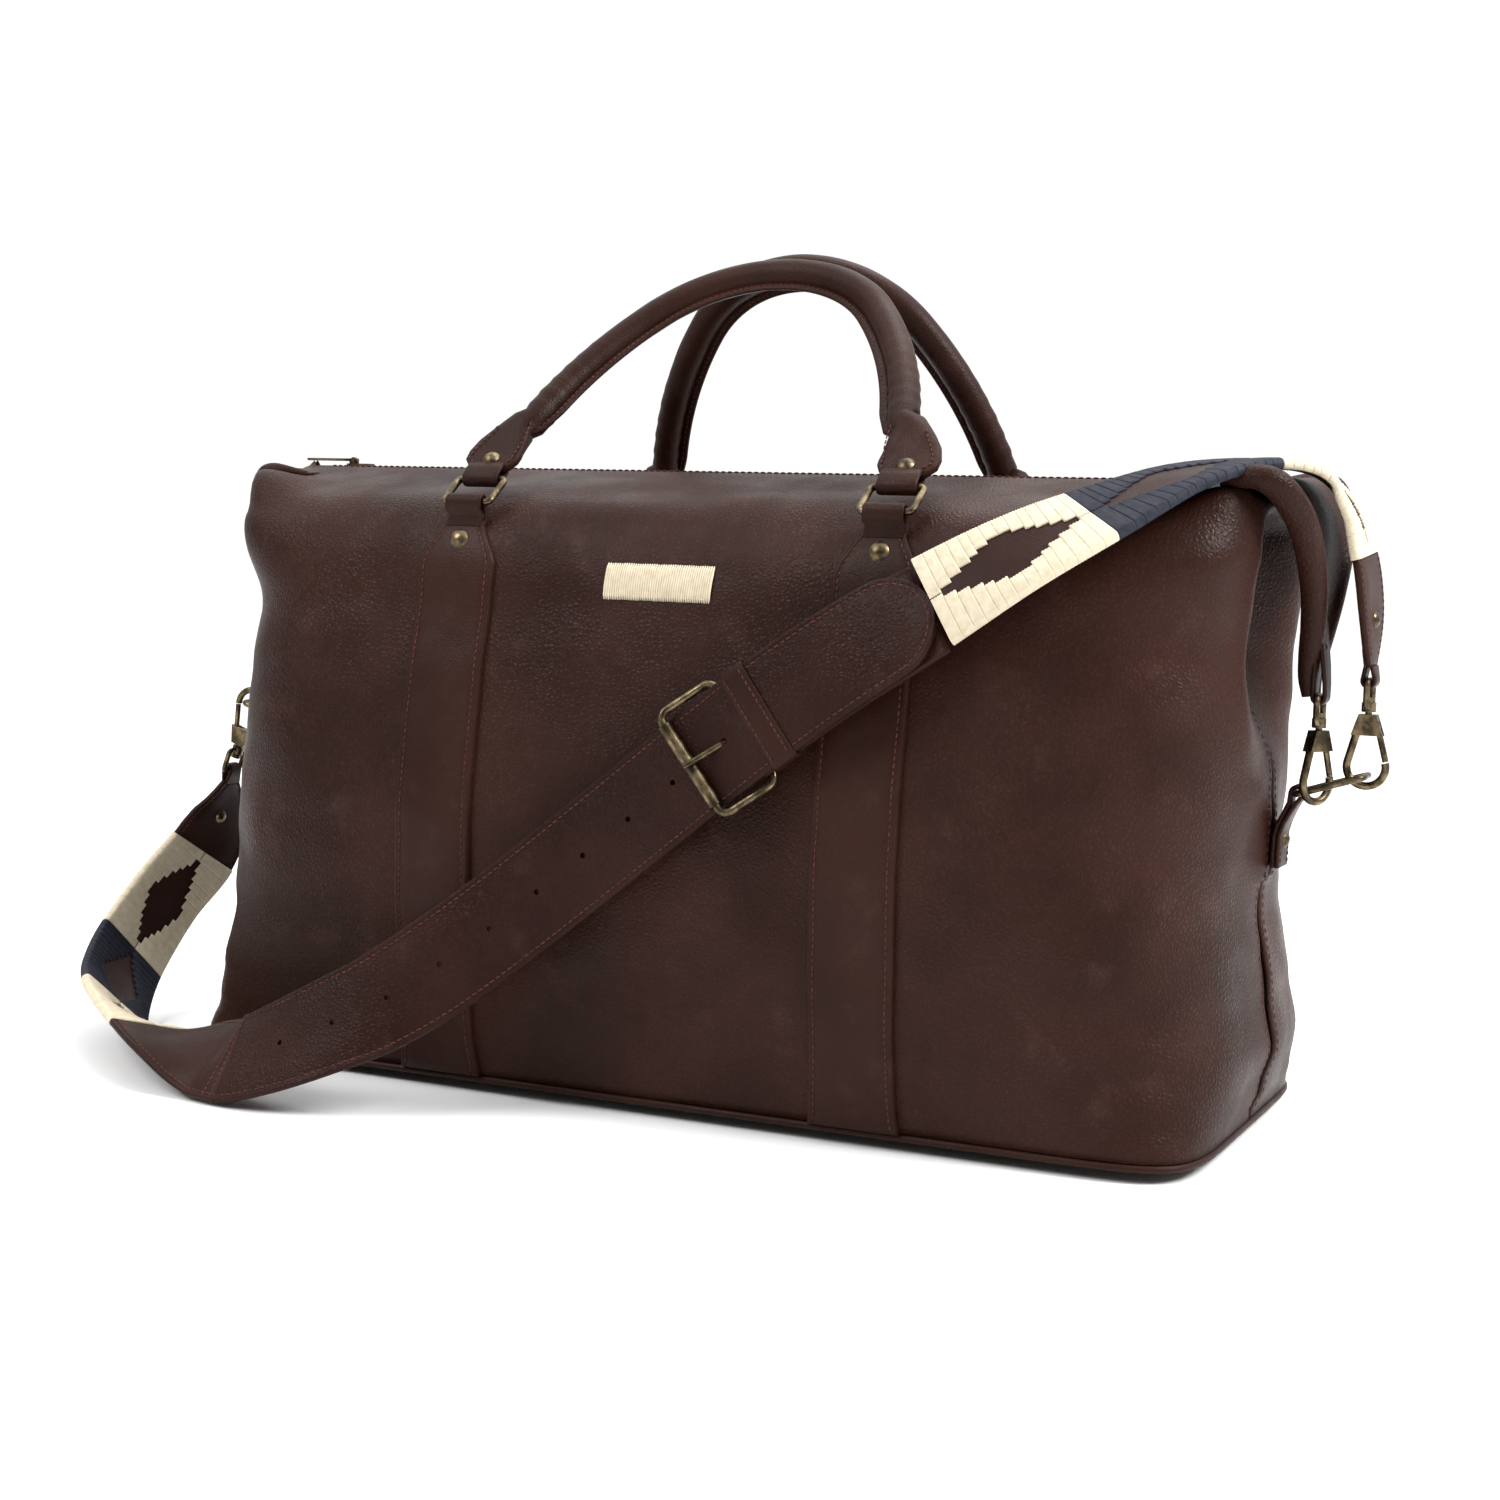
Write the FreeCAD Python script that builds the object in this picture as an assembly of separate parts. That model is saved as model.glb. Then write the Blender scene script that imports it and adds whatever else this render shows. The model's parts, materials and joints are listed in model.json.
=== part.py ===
import FreeCAD, Part
import math
import os

V = FreeCAD.Vector

# Soft leather weekender bag with two rolled handles and a buckled, thread-wrapped shoulder strap.
# Millimetres. Origin at the centre of the base, on the floor. +X is the long way, +Z is up,
# and the front panel faces -Y.

# Bag body
HALF_LENGTH = 280.0
HALF_DEPTH = 126.0            # at the fullest height of the panels
BASE_HALF_DEPTH = 115.0
BASE_TOP = 9.5                # where the panels start
RIDGE_Z = 318.0
RIDGE_HALF_WIDTH = 12.0
CORNER_R = 35.0
LEATHER = 2.5
LINING_GAP = 0.3
LINING_T = 0.8

# Base
PIPING_R = 2.0
BASE_T = 3.0
BOARD_T = 2.0
FOOT_H = 5.0
FOOT_R = 6.0
FEET_X, FEET_Y = 230.0, 78.0

# Zip
ZIP_SLOT_HALF = 4.0
ZIP_HALF_LENGTH = 262.0
SLIDER_X = -246.0
PULLER_L = 29.6
COIL_W, COIL_H = 5.4, 2.4

# Strips, rings and handles
STRIP_X = 114.4
STRIP_W = 44.0
STRIP_T = 3.0
LOOP_W = 21.0
LOOP_R = 4.2
LOOP_HOLE_R = 2.1
RING_R = 1.8
RING_W = 27.0
RING_H = 19.6
RING_CORNER_R = 2.8
FRONT_BAR = (-98.8, 299.3)    # y, z of the front rings' lower bar
BACK_BAR = (101.5, 291.0)
FRONT_RING_TILT = 53.3        # degrees from vertical, towards +Y
BACK_RING_TILT = 127.7
FRONT_HANDLE_TILT = 46.0
BACK_HANDLE_TILT = -23.0
HANDLE_R = 8.0
HANDLE_CORE_R = 5.0
HANDLE_HALF_W = 107.4
HANDLE_H = 162.0
HANDLE_TOP_R = 80.0
HANDLE_START_H = 22.0
TAB_T = 5.0

# Ends: wings, tabs, hooks and links
WING_TOP = (285.0, 313.0)     # x, z of the fold line
WING_TIP = (297.0, 226.0)
WING_HALF_W = 62.0
WING_TIP_HALF_W = 16.5
WING_T = 5.0
WING_ROLL_R = 6.0
LINK_Y = 3.0
LINK_INNER = (291.0, 170.0)
LINK_OUTER = (322.0, 180.0)
LINK_HALF_W = 9.5
LINK_CORNER_R = 3.4
END_TAB_LOW = 134.0
END_TAB_W = 20.0
END_TAB_T = 5.0
TAB_LOOP_W = 10.0
TAB_LEATHER = 2.2
TAB_PLATE_T = 3.2
LINK_WIRE_R = 1.6
WING_HOOK = (300.6, -4.7, 165.2)
WING_HOOK_TURN = 60.0
STRAP_HOOK = (322.0, LINK_Y, 173.5)
LEFT_STRAP_HOOK = (-319.1, LINK_Y, 187.9)
LEFT_HOOK_LEAN = 200.4        # degrees about Y that tip the left strap hook under its link

# Snap hook, in its own frame: bottom of the ring at the origin, eye up
HOOK_WIRE_R = 1.9
HOOK_RING_R = 9.1
HOOK_RING_Z = 11.0
HOOK_BLOCK_Z = (26.0, 36.0)
HOOK_BLOCK_T = 5.6
HOOK_POST_R = 1.6
HOOK_EYE_Z = 52.0
HOOK_EYE_W = 15.0
HOOK_EYE_R = 1.5
HOOK_EYE_CORNER_R = 2.2
SWIVEL_GAP = 0.3
GATE_PIVOT = (3.6, 30.0)
GATE_R = 1.5
GATE_T = 2.0
PIN_R = 0.9

# Shoulder strap
STRAP_W = 50.0
LEATHER_STRAP_T = 3.6
WOVEN_T = 6.0
STRAP_STEPS = 3               # sections between two stations of the route
STRAP_END_W = 16.0
STRAP_TAPER = 34.0
HOLE_R = 1.6
HOLE_PITCH = 30.0
HOLE_COUNT = 9
FIRST_HOLE = 14.0             # from the roller towards the tail
ANCHOR_LIFT = -4.1            # the anchor leather lies under the billet
FLOOR_GAP = 0.4               # the strap's edge just clears the floor
KEEPER_L = 14.0
KEEPER_T = 1.6
KEEPER_AT = 41.0              # from the roller towards the billet's tip
BUCKLE_LENGTH = 28.0
BUCKLE_WIRE_R = 2.0
BUCKLE_HALF_W = 29.0
HEEL_LIFT = -6.4
ROLLER_LIFT = 5.6
ROLLER_R = 3.3
PRONG_R = 1.5
PRONG_RISE = 32.7             # degrees from the strap at which the prong rests on the roller
PRONG_LENGTH = 34.0
PATCH_W, PATCH_H, PATCH_Z = 58.0, 18.0, 262.0


def save(node, shapes):
    """Writes one node; a list of solids is written as a group."""
    shape = Part.makeCompound(shapes) if isinstance(shapes, list) else shapes
    shape.exportStep("parts/%s.step" % node)


def fuse(shapes):
    """One solid from touching or overlapping pieces."""
    return shapes[0].multiFuse(shapes[1:]).removeSplitter()


def box(low, high):
    """Box between two corners."""
    size = [high[i] - low[i] for i in range(3)]
    return Part.makeBox(size[0], size[1], size[2], V(*low))


def cylinder(start, end, radius):
    """Round bar between two points."""
    axis = V(*end) - V(*start)
    return Part.makeCylinder(radius, axis.Length, V(*start), axis)


def polygon(points):
    """Closed wire through points."""
    corners = [V(*p) for p in points]
    return Part.makePolygon(corners + corners[:1])


def prism(points, direction):
    """Solid from a flat outline pushed along a direction."""
    return Part.Face(polygon(points)).extrude(V(*direction))


def mirrored(shape, normal):
    """Copy on the other side of the plane through the origin."""
    return shape.mirror(V(0, 0, 0), V(*normal))


# ---------------------------------------------------------------- bag body

def body_outline(inset):
    """Cross-section of the bag in the YZ plane, moved inwards by a wall thickness."""
    base = (-(BASE_HALF_DEPTH - inset), BASE_TOP)
    belly = (-(HALF_DEPTH - inset), 110.0)
    waist = (-(108.0 - inset), 250.0)
    shoulder = (-(100.0 - 0.93 * inset), 284.0 - 0.36 * inset)
    top = (-(80.0 - 0.5 * inset), 302.5 - 0.87 * inset)
    ridge = (-RIDGE_HALF_WIDTH, RIDGE_Z - inset)
    edges = []
    for side in (1, -1):
        b, m, w, s, t, r = [V(0, side * p[0], p[1]) for p in (base, belly, waist, shoulder, top, ridge)]
        edges += [Part.Arc(b, m, w).toShape(), Part.Arc(w, s, t).toShape(), Part.makeLine(t, r)]
    low = -base[0]
    ridge_z = RIDGE_Z - inset
    edges.append(Part.makeLine(V(0, -RIDGE_HALF_WIDTH, ridge_z), V(0, RIDGE_HALF_WIDTH, ridge_z)))
    edges.append(Part.makeLine(V(0, -low, BASE_TOP), V(0, low, BASE_TOP)))
    return Part.Wire(Part.__sortEdges__(edges))


def rounded_plan(half_x, half_y, radius, z):
    """Rounded rectangle wire at a height."""
    edges = []
    for sx, sy in ((1, 1), (-1, 1), (-1, -1), (1, -1)):
        cx, cy = sx * (half_x - radius), sy * (half_y - radius)
        mid = radius * math.sqrt(0.5)
        ends = V(sx * half_x, cy, z), V(cx, sy * half_y, z)
        edges.append(Part.Arc(ends[0], V(cx + sx * mid, cy + sy * mid, z), ends[1]).toShape())
    straight = [
        Part.makeLine(V(half_x - radius, half_y, z), V(radius - half_x, half_y, z)),
        Part.makeLine(V(-half_x, half_y - radius, z), V(-half_x, radius - half_y, z)),
        Part.makeLine(V(radius - half_x, -half_y, z), V(half_x - radius, -half_y, z)),
        Part.makeLine(V(half_x, radius - half_y, z), V(half_x, half_y - radius, z)),
    ]
    return Part.Wire(Part.__sortEdges__(edges + straight))


def bag_block(inset):
    """The bag's filled shape: its cross-section run lengthwise, with round upright corners."""
    length = HALF_LENGTH - inset
    lengthwise = Part.Face(body_outline(inset)).extrude(V(2 * length, 0, 0))
    lengthwise.translate(V(-length, 0, 0))
    plan = Part.Face(rounded_plan(length, HALF_DEPTH + 2 - inset, CORNER_R - inset, 0))
    plan = plan.extrude(V(0, 0, 400))
    return lengthwise.common(plan)


def bag_wall(outer_inset, inner_inset):
    """Hollow wall between two insets, open at the base and along the zip."""
    inner = bag_block(inner_inset)
    slot = box((-ZIP_HALF_LENGTH, -ZIP_SLOT_HALF, 290), (ZIP_HALF_LENGTH, ZIP_SLOT_HALF, 330))
    return bag_block(outer_inset).cut(inner).cut(slot)


def half(shape, side):
    """The part of a shape on one side of the end seams."""
    low, high = sorted((0, side * 400))
    return shape.common(box((-400, low, 0), (400, high, 400)))


def base_parts():
    """Base panel, its piping, the stiffening board inside and the feet."""
    panel_low = FOOT_H
    panel_plan = rounded_plan(HALF_LENGTH - 4, BASE_HALF_DEPTH - 4, 31, panel_low)
    panel = Part.Face(panel_plan).extrude(V(0, 0, BASE_T))
    path = rounded_plan(HALF_LENGTH - PIPING_R, BASE_HALF_DEPTH - PIPING_R, 33, BASE_TOP - PIPING_R)
    piping_centre = V(0, PIPING_R - BASE_HALF_DEPTH, BASE_TOP - PIPING_R)
    ring = Part.Wire(Part.makeCircle(PIPING_R, piping_centre, V(1, 0, 0)))
    piping = path.makePipeShell([ring], True, True)
    board_low = panel_low + BASE_T
    board_plan = rounded_plan(HALF_LENGTH - 12, BASE_HALF_DEPTH - 12, 24, board_low)
    board = Part.Face(board_plan).extrude(V(0, 0, BOARD_T))
    feet = []
    for x, y in ((0, 0), (-FEET_X, -FEET_Y), (FEET_X, -FEET_Y), (-FEET_X, FEET_Y), (FEET_X, FEET_Y)):
        foot = Part.makeCylinder(FOOT_R, FOOT_H, V(x, y, 0))
        rim = [e for e in foot.Edges if e.BoundBox.ZMax < 0.1 and e.Length > 10]
        feet.append(foot.makeFillet(1.5, rim[:1]))
    save("base_panel", panel)
    save("base_piping", piping)
    save("base_board", board)
    save("base_feet", feet)


def lining():
    """Thin lining inside the panels, with its own floor on the board."""
    outer = LEATHER + LINING_GAP
    wall = bag_wall(outer, outer + LINING_T)
    low = BASE_TOP + BOARD_T - 1.4
    wall = wall.common(box((-400, -400, low), (400, 400, 400)))
    wall = wall.cut(box((-ZIP_HALF_LENGTH - 1, -12, 300), (ZIP_HALF_LENGTH + 1, 12, 330)))
    floor = bag_block(outer).common(box((-400, -400, low), (400, 400, low + LINING_T)))
    return fuse([wall, floor])


def zip_parts():
    """Tapes under the panel edges, the closed coil between them, the stops, slider and puller."""
    top = RIDGE_Z - LEATHER
    tapes = []
    for side in (-1, 1):
        low, high = sorted((side * 1.6, side * 11.0))
        tapes.append(box((-ZIP_HALF_LENGTH, low, top - 1.0), (ZIP_HALF_LENGTH, high, top - 0.1)))
    coil_low = top - 0.1
    coil_end = ZIP_HALF_LENGTH - 8
    coil = box((-coil_end, -COIL_W / 2, coil_low), (coil_end, COIL_W / 2, coil_low + COIL_H))
    stop_x = ZIP_HALF_LENGTH - 4
    stops = [box((s * stop_x - 3, -3, coil_low), (s * stop_x + 3, 3, coil_low + 2.6)) for s in (-1, 1)]
    deck_low = coil_low + COIL_H + 0.35
    deck = box((SLIDER_X - 7, -3.6, deck_low), (SLIDER_X + 7, 3.6, deck_low + 1.2))
    cheeks = [box((SLIDER_X - 7, y, coil_low + 0.4), (SLIDER_X + 7, y + 0.6, deck_low))
              for y in (-3.6, 3.0)]
    bridge_z = deck_low + 3.2
    hinge_x = SLIDER_X - 4.4
    posts = [box((hinge_x - 1.2, s * 2.3 - 0.8, deck_low), (hinge_x + 1.2, s * 2.3 + 0.8, bridge_z + 0.9))
             for s in (-1, 1)]
    bridge = cylinder((hinge_x, -2.6, bridge_z), (hinge_x, 2.6, bridge_z), 0.8)
    slider = fuse([deck] + cheeks + posts + [bridge])
    plate = box((hinge_x - PULLER_L, -3.4, bridge_z - 0.6), (hinge_x, 3.4, bridge_z + 0.8))
    knuckle = cylinder((hinge_x, -1.2, bridge_z), (hinge_x, 1.2, bridge_z), 1.6)
    notch = box((hinge_x - 2.8, -4, bridge_z - 3), (SLIDER_X, 4, bridge_z + 3))
    tongue = box((hinge_x - 3.6, -1.2, bridge_z - 0.6), (hinge_x, 1.2, bridge_z + 0.8))
    bore = cylinder((hinge_x, -4, bridge_z), (hinge_x, 4, bridge_z), 0.9)
    puller = fuse([plate.cut(notch), tongue, knuckle]).cut(bore)
    save("zip_tapes", tapes)
    save("zip_coil", coil)
    save("zip_stops", stops)
    save("zip_slider", slider)
    save("zip_puller", puller)


# ---------------------------------------------------------------- rivets

def domed_rivet(face_point, outward, head_r, dome_h, shank_len):
    """Domed head on a surface, with its shank going into it."""
    out = V(*outward).normalize()
    point = V(*face_point)
    ball_r = (head_r ** 2 + dome_h ** 2) / (2 * dome_h)
    ball = Part.makeSphere(ball_r, point - out * (ball_r - dome_h))
    cap = Part.makeCylinder(head_r + 1, dome_h + 1, point, out)
    shank = Part.makeCylinder(1.4, shank_len + 0.2, point - out * shank_len, out)
    return fuse([ball.common(cap), shank])


def rivet_hole(face_point, outward, depth):
    """Space that a rivet's shank takes out of the leather."""
    out = V(*outward).normalize()
    return Part.makeCylinder(1.4, depth, V(*face_point) - out * depth, out)


# ---------------------------------------------------------------- strips and rings

def strip_outline(centre_x, bar_z):
    """Front view of a strip: straight sides, tapered shoulders and a narrow neck."""
    wide, neck = STRIP_W / 2, LOOP_W / 2
    taper_low, taper_high = bar_z - 27, bar_z - 11
    right = [(wide, BASE_TOP), (wide, taper_low - 5), (wide - 2, taper_low),
             (neck, taper_high), (neck, bar_z - 3)]
    left = [(-x, z) for x, z in right[::-1]]
    return [(centre_x + x, -200, z) for x, z in right + left]


def strip(centre_x, bar):
    """One stitched strip on the front panel, with the loop that holds its ring's lower bar."""
    bar_y, bar_z = bar
    skin = Part.Face(body_outline(-STRIP_T - 0.2)).extrude(V(60, 0, 0))
    under = Part.Face(body_outline(-0.2)).extrude(V(60, 0, 0))
    sheet = skin.cut(under)
    sheet.translate(V(centre_x - 30, 0, 0))
    body = sheet.common(prism(strip_outline(centre_x, bar_z), (0, 180, 0)))
    body = body.common(box((-400, -200, BASE_TOP), (400, 0, 400)))
    half_w = LOOP_W / 2
    loop = cylinder((centre_x - half_w, bar_y, bar_z), (centre_x + half_w, bar_y, bar_z), LOOP_R)
    web = box((centre_x - half_w, bar_y - 3.4, bar_z - 15), (centre_x + half_w, bar_y + 3.4, bar_z - 2))
    inside = Part.Face(body_outline(-0.2)).extrude(V(60, 0, 0))
    inside.translate(V(centre_x - 30, 0, 0))
    bore = cylinder((centre_x - 40, bar_y, bar_z), (centre_x + 40, bar_y, bar_z), LOOP_HOLE_R)
    return fuse([body, loop, web.cut(inside)]).cut(bore)


def strip_rivet_place(centre_x, bar, side):
    """Point and direction of a strip's rivet, on the strip's face below the taper."""
    z = bar[1] - 19.0
    line = Part.makeLine(V(centre_x, side * 200, z), V(centre_x, side * 60, z))
    skin = Part.Face(body_outline(-STRIP_T - 0.2)).extrude(V(60, 0, 0))
    skin.translate(V(centre_x - 30, 0, 0))
    hits = [v.Point for v in line.common(skin).Vertexes]
    y = max(abs(p.y) for p in hits)
    return (centre_x, side * (y - 0.15), z), (0, side, 0.28)


def ring(centre_x, bar, tilt):
    """Rectangular ring standing on its lower bar, leaning towards +Y by the tilt."""
    half_w, corner = RING_W / 2, RING_CORNER_R
    plan = rounded_plan(half_w, RING_H / 2, corner, 0)
    section = Part.Wire(Part.makeCircle(RING_R, V(0, RING_H / 2, 0), V(1, 0, 0)))
    shape = plan.makePipeShell([section], True, True)
    shape.translate(V(0, RING_H / 2, 0))
    shape.rotate(V(0, 0, 0), V(1, 0, 0), 90 - tilt)
    shape.translate(V(centre_x, bar[0], bar[1]))
    return shape


def upper_bar(bar, tilt):
    """y, z of a ring's upper bar."""
    angle = math.radians(tilt)
    return (bar[0] + RING_H * math.sin(angle), bar[1] + RING_H * math.cos(angle))


# ---------------------------------------------------------------- handles

def handle_arch(start_h):
    """Centre line of a handle in its own XY plane: two long side arcs and a round top."""
    side_r = (HANDLE_HALF_W ** 2 + (HANDLE_H - HANDLE_TOP_R) ** 2 - HANDLE_TOP_R ** 2)
    side_r = side_r / (2 * (HANDLE_HALF_W - HANDLE_TOP_R))
    side_cx = HANDLE_HALF_W - side_r
    top_cy = HANDLE_H - HANDLE_TOP_R
    join = math.atan2(top_cy, -side_cx)
    first = math.asin(start_h / side_r)

    def on_side(angle, sign):
        return V(sign * (side_cx + side_r * math.cos(angle)), side_r * math.sin(angle), 0)

    middle = (first + join) / 2
    right = Part.Arc(on_side(first, 1), on_side(middle, 1), on_side(join, 1)).toShape()
    top = Part.Arc(on_side(join, 1), V(0, HANDLE_H, 0), on_side(join, -1)).toShape()
    left = Part.Arc(on_side(join, -1), on_side(middle, -1), on_side(first, -1)).toShape()
    tangent = V(-math.sin(first), math.cos(first), 0)
    return Part.Wire([right, top, left]), on_side(first, 1), tangent


def handle_tube(radius, start_h):
    """Round bar bent along the handle's arch."""
    path, start, tangent = handle_arch(start_h)
    circle = Part.Wire(Part.makeCircle(radius, start, tangent))
    return path.makePipeShell([circle], True, False)


def tab_outline(sign):
    """Flat end of the handle: narrow at the ring, shouldered, then tapering into the tube."""
    half_loop = LOOP_W / 2
    outline = [(half_loop, 2.5), (half_loop, 6), (16, 12), (16, 19), (5, 40),
               (-19, 40), (-17, 19), (-15, 12), (-half_loop, 6), (-half_loop, 2.5)]
    return [(sign * (STRIP_X + x), h, -TAB_T / 2) for x, h in outline]


def handle_parts(bar, tilt, outer_side):
    """Cover with its two tabs, rope core and tab rivets, turned to the handle's lean."""
    cover_bits = [handle_tube(HANDLE_R, HANDLE_START_H)]
    holes = []
    rivets = []
    for sign in (-1, 1):
        cover_bits.append(prism(tab_outline(sign), (0, 0, TAB_T)))
        x = sign * STRIP_X
        loop_ends = ((x - LOOP_W / 2, 0, 0), (x + LOOP_W / 2, 0, 0))
        cover_bits.append(cylinder(loop_ends[0], loop_ends[1], LOOP_R))
        holes.append(cylinder((x - 20, 0, 0), (x + 20, 0, 0), LOOP_HOLE_R))
        face = (x, 13.0, outer_side * TAB_T / 2)
        rivets.append(domed_rivet(face, (0, 0, outer_side), 4.6, 2.4, TAB_T))
        holes.append(rivet_hole(face, (0, 0, outer_side), TAB_T))
    core = handle_tube(HANDLE_CORE_R, HANDLE_START_H + 16)
    cover = fuse(cover_bits).cut(Part.makeCompound(holes + [core]))
    placed = []
    for shape in [cover, core] + rivets:
        shape.rotate(V(0, 0, 0), V(1, 0, 0), 90 - tilt)
        shape.translate(V(0, bar[0], bar[1]))
        placed.append(shape)
    return placed[0], placed[1], placed[2:]


# ---------------------------------------------------------------- ends of the bag

def wing():
    """Right zip-end wing: a triangular flap folded down over the end, with rolled edges."""
    top_x, top_z = WING_TOP
    tip_x, tip_z = WING_TIP
    slope = V(tip_x - top_x, 0, tip_z - top_z)
    outline = [(top_x, -WING_HALF_W, top_z), (top_x, WING_HALF_W, top_z), (tip_x, WING_TIP_HALF_W, tip_z),
               (tip_x, -WING_TIP_HALF_W, tip_z)]
    normal = V(-slope.z, 0, slope.x).normalize()
    plate = Part.Face(polygon(outline)).extrude(normal * WING_T)
    plate.translate(normal * (-WING_T / 2))
    bits = [plate]
    for side in (-1, 1):
        ear = (top_x, side * WING_HALF_W, top_z - 2)
        end = (tip_x, side * WING_TIP_HALF_W, tip_z + 4)
        bits += [cylinder(ear, end, WING_ROLL_R), Part.makeSphere(WING_ROLL_R, V(*ear)),
                 Part.makeSphere(WING_ROLL_R, V(*end))]
    outside = box((HALF_LENGTH + 0.3, -200, 0), (400, 200, 400))
    return fuse(bits).common(outside)


def end_tab():
    """Right end tab: leather riveted to the end seam and folded round the link's inner bar."""
    x, z = LINK_INNER
    face_x = HALF_LENGTH + 0.3
    loop_half = TAB_LOOP_W / 2
    half_w = END_TAB_W / 2
    outline = [(-half_w, END_TAB_LOW), (half_w, END_TAB_LOW), (half_w, z - 14),
               (loop_half, z - 5), (-loop_half, z - 5), (-half_w, z - 14)]
    plate = prism([(face_x, LINK_Y + y, h) for y, h in outline], (END_TAB_T, 0, 0))
    neck = box((face_x + 1, LINK_Y - loop_half, z - 9), (x + 2, LINK_Y + loop_half, z - 1))
    loop = cylinder((x, LINK_Y - loop_half, z), (x, LINK_Y + loop_half, z), LINK_WIRE_R + 0.3 + TAB_LEATHER)
    bore = cylinder((x, LINK_Y - 30, z), (x, LINK_Y + 30, z), LINK_WIRE_R + 0.3)
    face = (face_x + END_TAB_T, LINK_Y, END_TAB_LOW + 13)
    tab = fuse([plate, neck, loop]).cut(bore).cut(rivet_hole(face, (1, 0, 0), END_TAB_T))
    return tab, domed_rivet(face, (1, 0, 0), 4.2, 2.4, END_TAB_T)


def wing_tab():
    """Right wing tab: leather lying on the wing's tip, folded round its hook's eye."""
    x, y, z = WING_HOOK[0], WING_HOOK[1], WING_HOOK[2] + HOOK_EYE_Z
    loop_half = TAB_LOOP_W / 2
    slope = V(WING_TOP[0] - WING_TIP[0], 0, WING_TOP[1] - WING_TIP[1]).normalize()
    normal = V(slope.z, 0, -slope.x)
    low = V(WING_TIP[0], 0, WING_TIP[1]) + normal * (WING_T / 2 + 0.1)
    high = low + slope * 26
    thick = normal * TAB_PLATE_T
    profile = [V(x - 1.8, 0, z), low, high, high + thick, low + thick, V(x + 2.6, 0, z)]
    plate = Part.Face(polygon([(p.x, y - loop_half, p.z) for p in profile])).extrude(V(0, TAB_LOOP_W, 0))
    loop = cylinder((x, y - loop_half, z), (x, y + loop_half, z), HOOK_EYE_R + 0.3 + TAB_LEATHER)
    bore = cylinder((x, y - 30, z), (x, y + 30, z), HOOK_EYE_R + 0.3)
    spot = low + slope * 14 + normal * TAB_PLATE_T
    rivet = domed_rivet((spot.x, y, spot.z), tuple(normal), 4.2, 2.4, TAB_PLATE_T)
    return fuse([plate, loop]).cut(bore).cut(rivet), rivet


def oval_link():
    """Right link: an oval ring that leans up and out from its tab."""
    inner, outer = LINK_INNER, LINK_OUTER
    run = math.hypot(outer[0] - inner[0], outer[1] - inner[1])
    lean = math.degrees(math.atan2(outer[1] - inner[1], outer[0] - inner[0]))
    plan = rounded_plan(run / 2, LINK_HALF_W, LINK_CORNER_R, 0)
    section = Part.Wire(Part.makeCircle(LINK_WIRE_R, V(0, LINK_HALF_W, 0), V(1, 0, 0)))
    shape = plan.makePipeShell([section], True, True)
    shape.translate(V(run / 2, LINK_Y, 0))
    shape.rotate(V(0, 0, 0), V(0, 1, 0), -lean)
    shape.translate(V(inner[0], 0, inner[1]))
    return shape


# ---------------------------------------------------------------- snap hooks

def hook_ring():
    """Pear-shaped ring, open on the gate's side."""
    foot = (-5.0, HOOK_BLOCK_Z[0] + 1.5)
    dx, dz = foot[0], foot[1] - HOOK_RING_Z
    reach = math.hypot(dx, dz)
    touch = math.atan2(dz, dx) + math.acos(HOOK_RING_R / reach)
    end = math.radians(14.0) + 2 * math.pi
    middle = (touch + end) / 2

    def on_ring(angle):
        return V(HOOK_RING_R * math.cos(angle), 0, HOOK_RING_Z + HOOK_RING_R * math.sin(angle))

    side = Part.makeLine(V(foot[0], 0, foot[1]), on_ring(touch))
    bend = Part.Arc(on_ring(touch), on_ring(middle), on_ring(end)).toShape()
    along = on_ring(touch) - V(foot[0], 0, foot[1])
    circle = Part.Wire(Part.makeCircle(HOOK_WIRE_R, V(foot[0], 0, foot[1]), along))
    return Part.Wire([side, bend]).makePipeShell([circle], True, False)


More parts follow.
